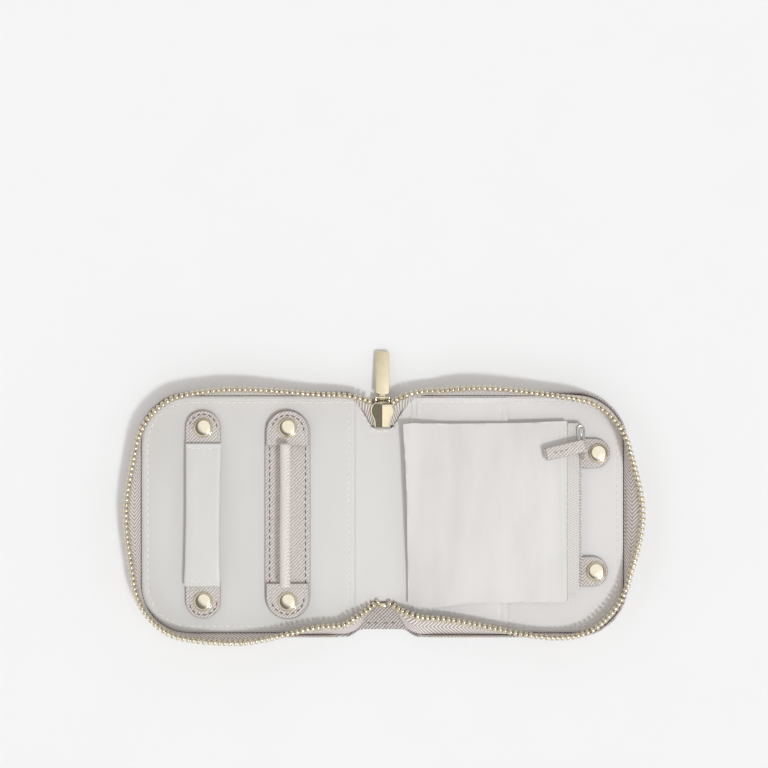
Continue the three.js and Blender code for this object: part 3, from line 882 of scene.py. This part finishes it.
def zip_teeth(name, side, line):
    shapes = []
    first = 0.5 if side > 0 else 1.0
    step = TAPE_STEP / TEETH_PER_STEP
    for k in range(int(len(line) * step / TOOTH_PITCH)):
        i = round((k + first) * TOOTH_PITCH / step)
        if i >= len(line):
            break
        along, up, across, _ = wall_frame(line, i)
        row = line[i][1]
        if row.y > NOTCH_Y and abs(row.x) < 5.2:
            continue
        rings = []
        for offset, size in TOOTH_SLICES:
            rings.append([row + along * offset + across * (u * size) + up * (v * size) for u, v in TOOTH])
        shapes.append(loft(rings))
    teeth = piece(f"{name}_teeth", *merged(shapes), TEETH_GOLD, None, 50)
    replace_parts(teeth, f"{name}_zip_teeth")
    across_fold(teeth, side)


# ---- Zip stop, slider and pull ----


# Half-widths of the slider's plates at distances from its narrow end.
SHIELD = ((3.9, 0.0), (3.95, 2.2), (4.5, 4.2), (5.4, 6.0), (5.8, 7.6), (5.65, 9.2), (5.0, 10.7), (3.6, 11.8),
          (1.6, 12.3))


def slider_plate(start, low, ridge, slope, lift):
    """A plate like a shield, whose top falls from a ridge to both sides and rounds off at its crown."""
    rings = []
    half = catmull(SHIELD, 4)
    length = half[-1][1]
    for w, y in [(half[0][0] - 0.5, half[0][1])] + half + [(half[-1][0] - 0.7, length + 0.12)]:
        fall = 0.9 * smoothstep(length - 2.6, length + 0.4, y) ** 2
        edge_top = ridge - slope * w
        end = 0.45 if y in (half[0][1], length + 0.12) and w < half[0][0] else 0.0
        top = ((0, -0.5), (0.12, -0.15), (0.45, 0.04), (0.62, 0.02))
        side = [(x - w, edge_top + z - fall * 0.6) for x, z in top] + [(-0.25, ridge - 0.05 - fall)]
        across = side + [(0.0, ridge - fall)] + [(-x, z) for x, z in reversed(side)]
        ring = [(x, start + y, max(low + 0.2, z - end)) for x, z in across]
        rings.append(ring + [(w - 0.2, start + y, low + lift), (-w + 0.2, start + y, low + lift)])
    return loft(rings)


def zip_slider():
    low, high = box("zip_slider")
    start = low.y + 0.1
    crown = start + SHIELD[-1][1]
    top_plate = slider_plate(start, 5.6, high.z, 0.2, 0.4)
    low_plate = slider_plate(start, 3.9, 4.8, 0.05, 0.0)
    upper = piece("slider_upper_plate", *top_plate, GOLD, "spine", 14)
    piece("slider_lower_plate", *low_plate, GOLD, "spine")
    pin_y, pin_z = joint_at("zip_pull_flip").yz
    parts = []
    for x in (-3.3, 3.3):
        route = ((crown - 4, 4.2), (crown - 1, 4.2), (pin_y - 0.7, pin_z - 0.1), (pin_y + 0.2, pin_z))
        parts.append(tube([Vector((x, y, z)) for y, z in route], [0.5, 0.6, 0.75, 0.8], 12))
    pin = [Vector((x, pin_y, pin_z)) for x in (-3.7, -3.4, 3.4, 3.7)]
    parts.append(tube(pin, [0.45, 0.75, 0.75, 0.45], 16))
    bridge = ((8.6, 4.0), (8.2, 2.9), (7, 2.5), (3.4, 2.5), (2.2, 2.9), (1.8, 4.0))
    parts.append(tube([Vector((0, crown - back, z)) for back, z in bridge], 0.75, 10))
    parts.append(tube([Vector((0, crown - 2.8, z)) for z in (4.6, high.z - 0.9)], 1.3, 14))
    for side in (-1, 1):
        flange = [Vector((side * (w - 0.6), start + y, 6.3)) for w, y in SHIELD[:6]]
        parts.append(tube(flange, 0.5, 8, 1.3))
    piece("slider_frame", *merged(parts), GOLD, "spine")
    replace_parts(upper, "zip_slider")


def pull_outline(length, half, neck, shoulder):
    """The flat outline of the pull, drawn along +Y from its pin."""
    right = [(neck, 0.2), (neck, shoulder - 0.5), (neck + 0.5, shoulder), (half - 0.6, shoulder)]
    right += [(half, shoulder + 0.6), (half, length - 0.7), (half - 0.7, length)]
    return right + [(-x, y) for x, y in reversed(right)]


def zip_pull():
    pin = joint_at("zip_pull_flip")
    low, high = box("zip_pull")
    length = high.y - pin.y - 0.1
    outline = pull_outline(length, high.x, 1.5, 2.0)
    bar = plate("pull_bar", outline, -0.8, 0.8, 0.3, [BRUSHED_GOLD], None)
    rings = []
    for k in range(13):
        a = math.radians(30 * k)
        out = Vector((0, math.cos(a), math.sin(a)))
        corners = ((-1.3, 0.9), (1.3, 0.9), (1.3, 1.6), (-1.3, 1.6))
        rings.append([Vector((x, 0, 0)) + out * r for x, r in corners])
    ring = piece("pull_eye", *loft(rings, caps=False), GOLD, None)
    dip = math.atan2(pin.z - (low.z + 0.85), length)
    place = Matrix.Translation(pin * MM) @ Matrix.Rotation(-dip, 4, "X")
    for obj in (bar, ring):
        obj.data.transform(place)
        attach(obj, "zip_pull")
    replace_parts(bar, "zip_pull")


def zip_stop():
    low, high = box("zip_stop")
    outline = [(-1.9, low.y + 0.5), (1.9, low.y + 0.5), (1.9, high.y - 0.2), (-1.9, high.y - 0.2)]
    stop = plate("zip_stop_clip", outline, low.z, high.z - 0.9, 0.8, [TEETH_GOLD], "spine")
    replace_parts(stop, "zip_stop")


# ---- Snaps, tabs and bars ----

# A snap cap in section, as radius and height: a rolled rim round a low dome.
CAP = ((0, 0.02), (4.6, 0.02), (4.84, 0.15), (4.88, 0.36), (4.8, 0.56), (4.66, 0.6), (4.56, 0.45),
       (4.5, 0.45), (4.46, 0.75), (4.36, 1.08), (4.15, 1.32), (3.85, 1.46), (3.4, 1.57), (2.8, 1.66),
       (2.0, 1.73), (1.1, 1.78), (0.4, 1.8), (0, 1.8))


def snap_cap(name, body):
    node = f"{name}_cap"
    x, y, _ = centre(node)
    cap = piece(f"{name}_snap", *lathe(CAP, x, y, box(node)[0].z), SNAP_GOLD, body, 60)
    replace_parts(cap, node)


def tab_outline(x, inner, outer, half):
    """A tab from y = inner to a round end at y = outer."""
    up = 1 if outer > inner else -1
    round_y = outer - up * half
    turn = [(px, py) for px, py in arc(x, round_y, half, 0, 180 * up, 26)]
    return [(x + half, inner)] + turn + [(x - half, inner)]


UNDER_BAR = 1.6  # how far a tab reaches under the bar that is sewn to it


def tab(name, body, up, half, seam):
    node = f"{name}_tab"
    low, high = box(node)
    x = centre(node).x
    inner, outer = (low.y, high.y) if up else (high.y, low.y)
    tuck = UNDER_BAR if up else -UNDER_BAR
    outline = tab_outline(x, inner - tuck, outer, half)
    leather = trim_plate(f"{name}_leather", outline, low.z, high.z, body, 0.4, seam)
    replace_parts(leather, node)
    path = [Vector((px, py, high.z)) for px, py in shrunk(outline, seam)]
    thread = stitches(path[1:-1], -0.02, 2.9, 2.0, 0.28)
    piece(f"{name}_stitches", *thread, DARK_THREAD, body)


def lengthwise(low, high, ends, inner, step):
    """Values along a bar: fixed distances in from both its ends, and then even steps between."""
    middle = between(low + inner, high - inner, step)
    return [low + d for d in ends] + middle + [high - d for d in reversed(ends)]


def ring_strap():
    """A padded strap that swells between its two sewn ends and narrows a little in the middle."""
    low, high = box("ring_bar_strap")
    middle = centre("ring_bar_strap").x
    rings = []
    ends = (0.0, 0.15, 0.4, 0.8, 1.4, 1.9, 2.2, 2.5, 2.8, 3.2, 3.8, 4.8, 6.5)
    length = high.y - low.y
    for y in lengthwise(low.y, high.y, ends, 9, 2.0):
        t = (y - low.y) / length
        d = min(y - low.y, high.y - y)
        half = 8.25 + 0.6 * abs(2 * t - 1) ** 2 + 0.12 * wobble(0, y, 7)
        lean = -0.55 + 1.1 * t + 0.2 * wobble(3, y, 20)
        seam = bump_at(d, 2.35, 0.45)
        full = (high.z - low.z) * (0.62 + 0.04 * smoothstep(0, 9, d)) - 0.12 * seam
        full *= smoothstep(-0.8, 0.3, d)
        base = low.z + 0.45 + (high.z - low.z - full - 0.45) * smoothstep(0, 14, d)
        ring = []
        for k in range(28):
            a = 2 * math.pi * k / 28
            u, v = math.cos(a), math.sin(a)
            across = math.copysign(abs(u) ** 0.34, u) * half
            z = base + full / 2 + math.copysign(abs(v) ** 0.62, v) * full / 2
            ring.append((middle + lean * 0.6 + across, y, z + 0.07 * wobble(across, y, 6, 2) * (v > 0)))
        rings.append(ring)
    strap = piece("ring_strap_pad", *loft(rings), STRAP, "ring_bar", 70)
    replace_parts(strap, "ring_bar_strap")
    rows = []
    seam_z = low.z + 0.5 + 0.66 * (high.z - low.z)
    for y in (low.y + 2.35, high.y - 2.35):
        lean = 0.3 if y > 0 else -0.3
        points = []
        for x in between(-6.4, 6.4, 1.6):
            points.append(Vector((middle + lean + x, y, seam_z - 0.2 * (abs(x) / 6) ** 4)))
        rows.append(stitches(points, 0.0, 2.8, 2.0, 0.22))
    piece("ring_strap_stitches", *merged(rows), WHITE_THREAD, "ring_bar", slot="pale_skin")


def bar_tabs(bar, seam):
    """The tab at each end of a bar with its snap: the upper one lifts with the bar, the lower one stays."""
    low, high = box(f"{bar}_upper_tab")
    ends = (("upper", bar, True), ("lower", "left_half", False))
    for end, body, up in ends:
        tab(f"{bar}_{end}", body, up, (high.x - low.x) / 2, seam)
    for end, body, _ in ends:
        snap_cap(f"{bar}_{end}", body)


def ring_bar():
    bar_tabs("ring_bar", 1.7)
    ring_strap()


def earring_bar():
    low, high = box("earring_base_panel")
    x, half = centre("earring_base_panel").x, (high.x - low.x) / 2
    outline = arc(x, high.y - half, half, 0, 180, 30) + arc(x, low.y + half, half, 180, 360, 30)
    base = trim_plate("earring_base_leather", outline, low.z, high.z, "left_half")
    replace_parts(base, "earring_base_panel")
    long_sides = []
    for side in (-1, 1):
        points = [Vector((x + side * (half - 2.4), y, high.z)) for y in between(-34.4, 34.4, 5)]
        long_sides.append(stitches(points, 0.05, 3.1, 2.2, 0.3))
    piece("earring_base_stitches", *merged(long_sides), DARK_THREAD, "left_half")
    bar_tabs("earring_bar", 2.2)
    earring_roll()


ROLL_GAP = 0.05  # from the roll to the sides of its box


def earring_roll():
    """A leather roll, and a tongue at each end that turns down to its tab."""
    low, high = box("earring_bar_roll")
    x, r = centre("earring_bar_roll").x, (high.x - low.x) / 2 - ROLL_GAP
    z = high.z - r - ROLL_GAP
    rings = []
    for y in lengthwise(low.y, high.y, (0.0, 0.12, 0.4, 0.9), 2, 2.2):
        d = min(y - low.y, high.y - y)
        size = r * (0.82 + 0.18 * smoothstep(-0.1, 0.8, d))
        bow = 0.12 * math.sin(y * 0.09) + 0.05 * wobble(0, y, 9)
        turns = [2 * math.pi * k / 24 for k in range(24)]
        rings.append([(x + bow + size * math.cos(a), y, z + size * math.sin(a)) for a in turns])
    shapes = [loft(rings)]
    tab_top = box("earring_bar_upper_tab")[1].z
    for end in (-1, 1):
        y = end * high.y
        under = z - r
        tongue = ((3.2, under + 0.3), (1.6, under - 0.2), (0.7, under - 1.0))
        tongue += ((0.3, tab_top + 0.4), (0.1, tab_top - 0.3))
        corners = ((-2.2, -0.4), (2.2, -0.4), (2.2, 0.4), (-2.2, 0.4))
        shapes.append(loft([[(x + px, y - end * back, pz + t) for px, t in corners] for back, pz in tongue]))
    roll = piece("earring_roll_leather", *merged(shapes), LIT_ROLL, "earring_bar", 55)
    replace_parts(roll, "earring_bar_roll")


# ---- Right half: slip pocket and pouch ----


def slip_pocket():
    """A sewn panel over the lining that stands a little open along its free edge."""
    low, high = box("slip_pocket")
    seam_x = FOLD_SEAM["right"]
    hem_x = high.x - 3.5
    end_seam = 2.2  # ends of the panel to their rows of stitches

    def top(x, y):
        open_share = smoothstep(low.x + 8, high.x, x)
        edge = 1 - smoothstep(46, 56, abs(y))
        z = high.z + 0.1 + 0.65 * open_share * edge
        z += (0.3 + 0.7 * open_share) * edge * wobble(x * 0.7, y, 15, 3.0)
        z += 0.18 * wobble(x, y, 6, 8.0) * smoothstep(30, 50, abs(y))
        z -= 0.2 * bump_at(x, seam_x, 0.5) + 0.22 * bump_at(x, hem_x, 0.5)
        z -= 0.2 * bump_at(high.y - abs(y), end_seam, 0.5)
        return max(z, high.z - 0.05)

    reach = high.y
    xs = [low.x + d for d in (0, 0.3, 0.8, 1.2, 1.6, 2.0, 2.6, 4)] + between(low.x + 6, hem_x - 2, 1.6)
    xs += [hem_x + d for d in (-1, -0.5, 0, 0.5, 1.2, 2.2, 3.1, 3.5)]
    ys = across_panel(lambda d: reach - d, 60)
    verts, faces = slab(xs, lambda x: ys, top, lambda x, y: top(x, y) - 0.35)
    panel = piece("slip_pocket_panel", verts, faces, LINING, "right_half", 60)
    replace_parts(panel, "slip_pocket")
    rows = []
    for x, pitch in ((seam_x, 3.0), (hem_x, 3.2)):
        points = [Vector((x, y, top(x, y))) for y in between(-reach + 1.5, reach - 1.5, 1.5)]
        rows.append(stitches(points, 0.0, pitch, pitch * 0.7, 0.25))
    for y in (end_seam - reach, reach - end_seam):
        rows.append(stitches([Vector((x, y, top(x, y))) for x in between(seam_x, hem_x, 1.5)]))
    piece("slip_pocket_stitches", *merged(rows), WHITE_THREAD, "right_half")


# The two ends of the pouch as it lies: the share across from its free edge to its zip, x and y.
POUCH_LOW = ((0.0, 11.3, -43.6), (0.05, 14.7, -45.3), (0.14, 23.0, -46.1), (0.27, 33.0, -44.9),
             (0.4, 43.5, -43.7), (0.66, 64.5, -43.3), (1.0, 92.2, -43.0))
POUCH_HIGH = ((0.0, 9.9, 44.4), (0.05, 13.9, 45.0), (0.35, 38.6, 45.0), (0.7, 66.5, 45.2), (1.0, 90.4, 45.9))
# Soft folds in the pouch: two ends, how high and how wide.
POUCH_FOLDS = (
    ((47, 46), (44, 12), -0.4, 3.2),
    ((58, 46), (59, 22), 0.4, 3.0),
    ((66, 44), (63, 6), -0.45, 3.6),
    ((30, 40), (24, -20), 0.3, 5.0),
    ((70, -44), (60, -8), -0.5, 3.4),
    ((82, -42), (74, -16), 0.4, 3.0),
    ((52, -45), (50, -24), -0.4, 3.2),
    ((38, -10), (62, -26), 0.35, 5.5),
    ((20, -44), (34, -30), -0.3, 3.5),
)
POUCH_GRID = (72, 80)
POUCH_WIDE, POUCH_LONG = 80, 90
POUCH_PINNED = 3.4  # width of the part beside the zip that the simulation keeps flat
POUCH_HEM = 1.5  # free edge beside the zip to its row of stitches
POUCH_REST = 3.5  # the lowest its underside reaches, on the slip pocket


def pouch_plan(u, v):
    """Plan position in the pouch, u across from 0 to 1 and v along from 0 to 1."""
    low, high = (Vector(station(edge, u, eased=False)) for edge in (POUCH_LOW, POUCH_HIGH))
    point = low.lerp(high, v)
    point.x += 0.9 * (1 - u) ** 3 * smoothstep(1.0, 0.6, v)
    return point


def pouch_middle(u, v):
    """Height of the surface halfway through the pouch: its free edge stands up towards the high end."""
    free = 4.6 + 4.0 * smoothstep(-0.05, 0.75, v)
    inner = 6.3 + 0.5 * smoothstep(0.0, 1.0, v)
    zip_side = 6.2
    near = inner + (free - inner) * (1 - smoothstep(0.0, 0.3, u))
    return near + (zip_side - near) * smoothstep(0.75, 1.0, u)


def fold_height(x, y):
    """How far the soft folds lift or press the pouch at a point."""
    total = 0.0
    here = Vector((x, y))
    for a, b, rise, width in POUCH_FOLDS:
        a, b = Vector(a), Vector(b)
        t = max(0.0, min(1.0, (here - a).dot(b - a) / (b - a).length_squared))
        away = (here - a.lerp(b, t)).length
        total += rise * math.exp(-((away / width) ** 2)) * (1 - smoothstep(0.5, 1.0, t))
    return total


SIM_SCALE = 10  # the cloth is simulated this many times larger
SIM_FRAMES = 20
DRAW_IN = 0.03  # share of the simulated sideways movement that is kept


def inflated(verts, faces, pinned):
    """The same points after a short cloth simulation with air inside."""
    mesh = bpy.data.meshes.new("pillow")
    mesh.from_pydata([tuple(c * MM * SIM_SCALE for c in v) for v in verts], [], faces)
    pillow = bpy.data.objects.new("pillow", mesh)
    scene.collection.objects.link(pillow)
    pillow.vertex_groups.new(name="pinned").add(pinned, 1.0, "REPLACE")
    modifier = pillow.modifiers.new("cloth", "CLOTH")
    modifier.point_cache.frame_start = 1
    modifier.point_cache.frame_end = SIM_FRAMES
    cloth = modifier.settings
    cloth.quality = 6
    cloth.mass = 0.3
    cloth.tension_stiffness = cloth.compression_stiffness = 25
    cloth.shear_stiffness = 8
    cloth.bending_stiffness = 0.4
    cloth.use_pressure = True
    cloth.uniform_pressure_force = 3.5
    cloth.vertex_group_mass = "pinned"
    cloth.effector_weights.gravity = 0
    for frame_number in range(1, SIM_FRAMES + 1):
        scene.frame_set(frame_number)
    result = pillow.evaluated_get(bpy.context.evaluated_depsgraph_get()).data
    points = [v.co / (MM * SIM_SCALE) for v in result.vertices]
    bpy.data.objects.remove(pillow)
    scene.frame_set(1)
    return points


def pouch_bag():
    """Two sewn sheets, puffed up by the simulation, and then laid down to the heights of pouch_middle."""
    columns, rows = POUCH_GRID
    rings, places = [], []
    for i in range(columns + 1):
        u = i / columns
        ring = []
        for face, vs in ((1, range(rows + 1)), (-1, range(rows, -1, -1))):
            for j in vs:
                v = j / rows
                plan = pouch_plan(u, v)
                edge = min(min(u, 1 - u) * POUCH_WIDE, min(v, 1 - v) * POUCH_LONG)
                ring.append((plan.x, plan.y, face * (0.45 + 0.5 * smoothstep(0, 4, edge))))
                places.append((u, v, face, edge))
        rings.append(ring)
    verts, faces = loft(rings, caps=False)
    count = len(rings[0])
    for base in (0, columns * count):
        for i in range(count // 2 - 1):
            faces.append((base + i, base + i + 1, base + count - 2 - i, base + count - 1 - i))
    hem = [k for k, (u, *_) in enumerate(places) if (1 - u) * POUCH_WIDE < POUCH_PINNED]
    points = inflated(verts, faces, hem)
    fullest = max(p[2] for p in points)
    laid = []
    for point, start, (u, v, face, edge) in zip(points, verts, places):
        x = start[0] + DRAW_IN * (point[0] - start[0])
        y = start[1] + DRAW_IN * (point[1] - start[1])
        puff = point[2] / fullest * (2.1 if face > 0 else 1.2)
        z = pouch_middle(u, v) + puff + 0.12 * wobble(x, y, 11, 1.0)
        if face > 0:
            z += 1.3 * fold_height(x, y) * smoothstep(0, 6, edge)
            z -= 0.35 * bump_at((1 - u) * POUCH_WIDE, POUCH_HEM, 0.7)
        laid.append((x, y, max(z, POUCH_REST + 0.35 * (face > 0))))
    bag = piece("pouch_skin", laid, faces, POUCH, "pouch", 80)
    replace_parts(bag, "pouch_bag")
    tops = {(round(u * columns), round(v * rows)): k for k, (u, v, face, _) in enumerate(places) if face > 0}
    column = round((1 - POUCH_HEM / POUCH_WIDE) * columns)
    seam = [Vector(laid[tops[column, j]]) + Vector((0, 0, 0.05)) for j in range(2, rows - 1)]
    hem_thread = stitches(seam, 0.0, 3.3, 2.3, 0.25)
    return bag, piece("pouch_hem_stitches", *hem_thread, WHITE_THREAD, "pouch", slot="pale_skin")


ZIP_END = (-35.8, -40.6)  # y of the slanting end of the pouch's tape at the coil, and at the hem
COIL_PITCH = 1.45


def pouch_zip():
    high = box("pouch_zip_tape")[1]
    hem_x, coil_x = 90.6, high.x + 0.3
    rings, weave = [], []
    for k in range(87):
        t = k / 86
        right = Vector((coil_x, high.y + (ZIP_END[0] - high.y) * t))
        left = Vector((hem_x, high.y + (ZIP_END[1] - 1.6 - high.y) * t))
        ring = []
        for face in (1, -1):
            for i in range(9) if face > 0 else range(8, -1, -1):
                p = left.lerp(right, i / 8)
                ring.append((p.x, p.y, 6.35 + 0.25 * face + 0.12 * wobble(p.x, p.y, 6, 3)))
                weave.extend((p.y, p.x - hem_x, 0.0))
        rings.append(ring)
    tape = piece("pouch_tape", *loft(rings), POUCH_TAPE, "pouch", 60)
    tape.data.attributes.new("weave", "FLOAT_VECTOR", "POINT").data.foreach_set("vector", weave)
    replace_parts(tape, "pouch_zip_tape")
    x, _, z = centre("pouch_zip_coil")
    turns = int((box("pouch_zip_coil")[1].y - ZIP_END[0]) / COIL_PITCH)
    points = []
    for k in range(turns * 10):
        a = 2 * math.pi * k / 10
        y = ZIP_END[0] + COIL_PITCH * k / 10
        points.append(Vector((x + 0.6 * math.cos(a), y, z + 0.5 * math.sin(a))))
    coil = piece("pouch_coil", *tube(points, 0.3, 6), COIL, "pouch", 80)
    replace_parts(coil, "pouch_zip_coil")


def pouch_slider():
    low, high = box("pouch_slider")
    y0, y1 = low.y, high.y
    outline = [(95.9, y0), (98.5, y0), (98.9, y0 + 0.5), (99.1, y0 + 4.6), (98.8, y1 - 0.9), (97.9, y1 - 0.1),
               (96.6, y1), (95.4, y1 - 0.9), (95.1, y0 + 4.6), (95.5, y0 + 0.6)]
    upper = plate("pouch_slider_plate", outline, 7.45, 8.15, 0.25, [NICKEL], "pouch_slider", 0.75)
    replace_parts(upper, "pouch_slider")
    lower = ((0.3, 4.78), (0.0, 4.95), (0.0, 5.15), (0.3, 5.3))
    parts = [loft([[(x, y, z) for x, y in shrunk(outline, inset)] for inset, z in lower])]
    side = [(98.35, y0 + 0.6), (99.0, y0 + 0.6), (99.05, y1 - 1.6), (98.35, y1 - 1.2)]
    parts.append(loft([[(x, y, z) for x, y in side] for z in (5.1, 7.6)]))
    arch = [(y1 - 1.0, 8.0), (y1 - 1.2, 8.7), (y1 - 2.0, 9.1)]
    arch += [(y0 + 2.6, 9.1), (y0 + 1.7, 8.8), (y0 + 1.4, 8.0)]
    parts.append(tube([Vector((97.05, y, z)) for y, z in arch], 0.45, 10))
    piece("pouch_slider_body", *merged(parts), NICKEL, "pouch_slider")
    ring = []
    for k in range(29):
        a = 2 * math.pi * k / 28
        ring.append(Vector((97.45 + 0.8 * math.cos(a) - 0.25 * math.sin(a), 32.5 + 5.6 * math.sin(a), 8.75)))
    link = piece("pouch_pull_ring", *tube(ring, 0.34, 8), NICKEL, "pouch_pull")
    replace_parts(link, "pouch_pull_link")


def pouch_pull():
    """A narrow leather strip folded over the link and sewn together with three stitches."""
    low, high = box("pouch_pull_tab")
    hinge = joint_at("pouch_pull_swing")
    turn = Matrix.Translation((hinge.x, hinge.y, 0)) @ Matrix.Rotation(0.23, 4, "Z")
    half, reach = 3.1, 17.9
    shapes = []
    layers = (("lower", -reach - 0.9, low.z, low.z + 0.8), ("upper", -reach, high.z - 0.85, high.z))
    for name, start, z0, z1 in layers:
        outline = [(start + 0.5, -half), (1.0, -half), (1.5, -half + 0.4), (1.5, half - 0.4), (1.0, half),
                   (start + 0.5, half), (start, half - 0.5), (start, -half + 0.5)]
        shapes.append(trim_plate(f"pouch_pull_{name}", outline, z0, z1, "pouch_pull", 0.3))
    middle, width = (low.z + high.z) / 2, half - 0.3
    turns = [math.pi * k / 8 for k in range(9)]
    fold = [Vector((1.2 + 0.35 * math.sin(a), 0, middle + 0.62 * math.cos(a))) for a in turns]
    rings = []
    for k, p in enumerate(fold):
        out = Vector((1, 0, 0)) if k == 4 else (p - fold[4]).normalized()
        corners = ((-width, -0.25), (width, -0.25), (width, 0.25), (-width, 0.25))
        rings.append([p + Vector((0, y, 0)) + out * t for y, t in corners])
    shapes.append(piece("pouch_pull_fold", *loft(rings), TRIM, "pouch_pull"))
    seam = stitches([Vector((x, 0, high.z)) for x in (-14.6, -6.2)], -0.05, 2.7, 1.7, 0.26)
    shapes.append(piece("pouch_pull_stitches", *seam, DARK_THREAD, "pouch_pull"))
    for obj in shapes:
        obj.data.transform(Matrix.Scale(MM, 4) @ turn @ Matrix.Scale(1 / MM, 4))
    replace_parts(shapes[1], "pouch_pull_tab")


def pouch_tab(name):
    """A tab from under the pouch's zip to a round end past its snap."""
    low, high = box(f"pouch_{name}_tab")
    half = (high.y - low.y) / 2
    y = centre(f"pouch_{name}_tab").y
    root = low.x - 3.2  # under the pouch's zip
    turn = arc(high.x - half, y, half, -90, 90, 26)
    outline = [(root, y - half)] + turn + [(root, y + half)]
    leather = trim_plate(f"pouch_{name}_leather", outline, low.z, high.z, "right_half")
    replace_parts(leather, f"pouch_{name}_tab")
    snap_cap(f"pouch_{name}", "right_half")


camera()
lights()
floor()
for half_name, half_side in (("left", -1), ("right", 1)):
    cover_half(half_name, half_side)
    lining(half_name, half_side)
    zip_wall(half_name, half_side)
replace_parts(cover_strip("left", -1), "spine_cover")
cover_strip("right", 1)
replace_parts(bpy.data.objects["right_lining_skin"], "spine_lining")
zip_slider()
zip_pull()
zip_stop()
ring_bar()
earring_bar()
slip_pocket()
POUCH_PARTS = pouch_bag()
for obj in POUCH_PARTS:
    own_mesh(obj)
pouch_zip()
pouch_slider()
pouch_pull()
pouch_tab("upper")
pouch_tab("lower")

CAD_FINISH = {"left_board": BOARD, "right_board": BOARD, "spine_board": BOARD}
for node_name in frame["nodes"]:
    if node_name.endswith("_stud"):
        CAD_FINISH[node_name] = NICKEL
for node_name, finish in CAD_FINISH.items():
    mesh = frame["nodes"][node_name].data
    mesh.materials.clear()
    mesh.materials.append(finish)
